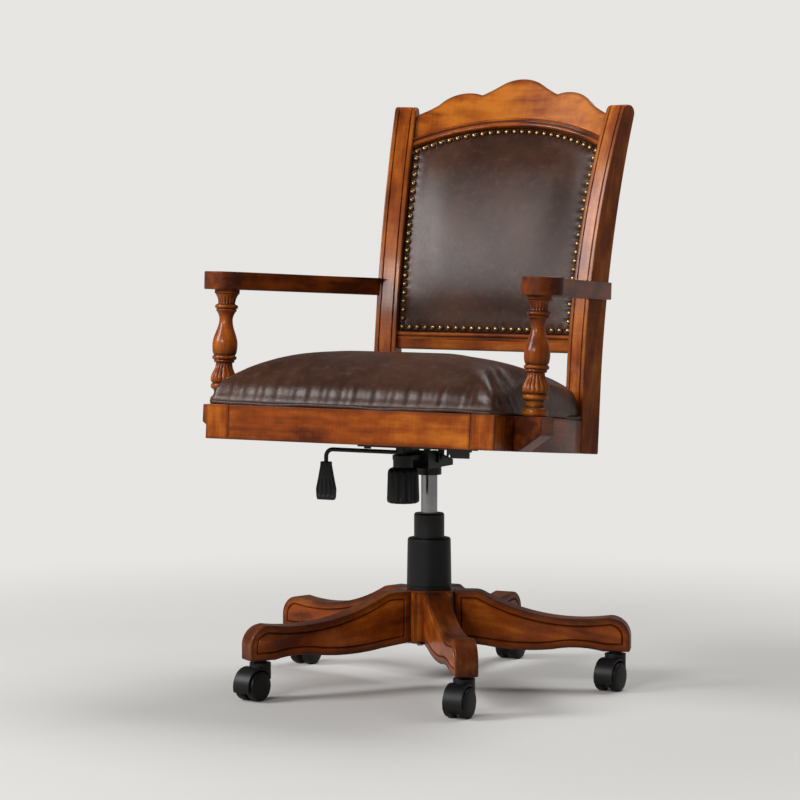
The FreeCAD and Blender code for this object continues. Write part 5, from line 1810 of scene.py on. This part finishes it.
@dataclass
class Studio:
    """Pale floor, soft lamps and the camera."""

    camera_place: Point = (2.434482, -4.799936, 0.872341)
    camera_turn: float = math.radians(26.894 + 0.532)
    camera_pitch: float = math.radians(4.059)
    lens: float = 142.1417
    sensor: float = 36.0
    floor_size: float = 60.0
    world_level: float = 0.15
    wall_level: float = 0.8
    ceiling_level: float = 0.06
    mirrored: float = 0.25
    warm: Colour = (1, 0.985, 0.96, 1)
    aim: Point = (0, 0, 0.55)
    lamps: tuple[tuple[str, Point, float, float], ...] = (
        ("key_softbox", (-2.9, -2.5, 2.6), 1.6, 135.0), ("front_softbox", (-0.75, -4.1, 2.3), 0.6, 28.0),
        ("edge_softbox", (0.1, -4.2, 2.3), 0.7, 38.0), ("top_softbox", (0.6, 1.5, 3.1), 1.7, 60.0))

    def build(self) -> None:
        """Makes the floor, the world, the lamps and the camera."""
        self.build_floor()
        self.build_world()
        for lamp in self.lamps:
            self.add_lamp(*lamp)
        self.build_camera()

    def build_floor(self) -> None:
        """Makes a pale floor that keeps the chair's shadow near it and fades to white."""
        Bench.clear()
        bpy.ops.mesh.primitive_plane_add(size=self.floor_size)
        floor = bpy.context.object
        floor.name = "floor"
        canvas = Canvas("pale_floor")
        place = canvas.place()
        reach = canvas.add("ShaderNodeVectorMath", {"operation": "LENGTH"}, {0: place}, "Value")
        cloud = canvas.noise(place, 3.0, 2.0)
        colour = canvas.blend(cloud, (0.66, 0.65, 0.63, 1), (0.7, 0.69, 0.67, 1))
        mirrored = (canvas.ray("Glossy") + canvas.ray("Transmission")) * self.mirrored
        shown = (canvas.ray("Camera") + mirrored).clamped()
        colour = canvas.blend(shown, (0.34, 0.32, 0.3, 1), colour)
        canvas.finish(Base_Color=colour, Roughness=0.7)
        glow = canvas.add("ShaderNodeEmission", {}, {"Color": self.warm, "Strength": self.wall_level})
        far = reach.spread(0.55, 2.0) * shown
        base = Signal(canvas, canvas.shader.outputs[0])
        mixed = canvas.add("ShaderNodeMixShader", {}, {0: far, 1: base, 2: glow})
        output = next(node for node in canvas.nodes if node.type == "OUTPUT_MATERIAL")
        canvas.feed(output.inputs["Surface"], mixed)
        floor.data.materials.append(canvas.owner)

    def build_world(self) -> None:
        """Sets an even world light that shows pale, and is mirrored as pale walls under a dark ceiling."""
        canvas = Canvas("studio", "worlds")
        seen = (canvas.ray("Glossy") + canvas.ray("Transmission")) * self.mirrored
        place = canvas.add("ShaderNodeTexCoord", {}, {}, "Generated")
        height = canvas.add("ShaderNodeSeparateXYZ", {}, {0: place}, "Z")
        walls = height.spread(0.06, 0.17, self.wall_level, self.ceiling_level)
        level = self.world_level + (walls - self.world_level) * seen.clamped()
        level = level + (self.wall_level - level) * canvas.ray("Camera")
        bpy.context.scene.world = canvas.finish(Color=self.warm, Strength=level)

    def add_lamp(self, name: str, place: Point, size: float, power: float) -> None:
        """Adds a square lamp that faces the chair.

        Args:
            name: Name of the lamp.
            place: Where it stands.
            size: Length of its side.
            power: Power in watts.
        """
        lamp = bpy.data.lights.new(name, "AREA")
        lamp.shape = "SQUARE"
        lamp.size = size
        lamp.energy = power
        holder = bpy.data.objects.new(name, lamp)
        bpy.context.scene.collection.objects.link(holder)
        aim = Vector(self.aim) - Vector(place)
        holder.matrix_world = Matrix.Translation(place) @ aim.to_track_quat("-Z", "Y").to_matrix().to_4x4()

    def build_camera(self) -> None:
        """Sets the camera at the photograph's place."""
        camera = bpy.data.cameras.new("camera")
        camera.lens = self.lens
        camera.sensor_width = self.sensor
        holder = bpy.data.objects.new("camera", camera)
        bpy.context.scene.collection.objects.link(holder)
        level = math.cos(self.camera_pitch)
        forward = Vector((-math.sin(self.camera_turn) * level, math.cos(self.camera_turn) * level,
                          -math.sin(self.camera_pitch)))
        holder.matrix_world = (Matrix.Translation(self.camera_place)
                               @ forward.to_track_quat("-Z", "Y").to_matrix().to_4x4())
        bpy.context.scene.camera = holder


def main() -> None:
    """Builds and dresses the chair, then sets the studio."""
    logging.basicConfig(level=logging.INFO, format="%(name)s: %(message)s")
    bpy.context.scene.view_settings.view_transform = "Standard"
    kinds = (StarBase, Castors, GasLift, Mechanism, SeatFrame, Arms, BackFrame, SeatCushion, BackUpholstery)
    for kind in kinds:
        assembly = kind()
        assembly.build()
        assembly.dress()
    PlainNodes().dress()
    Studio().build()


if __name__ == "__main__":
    main()
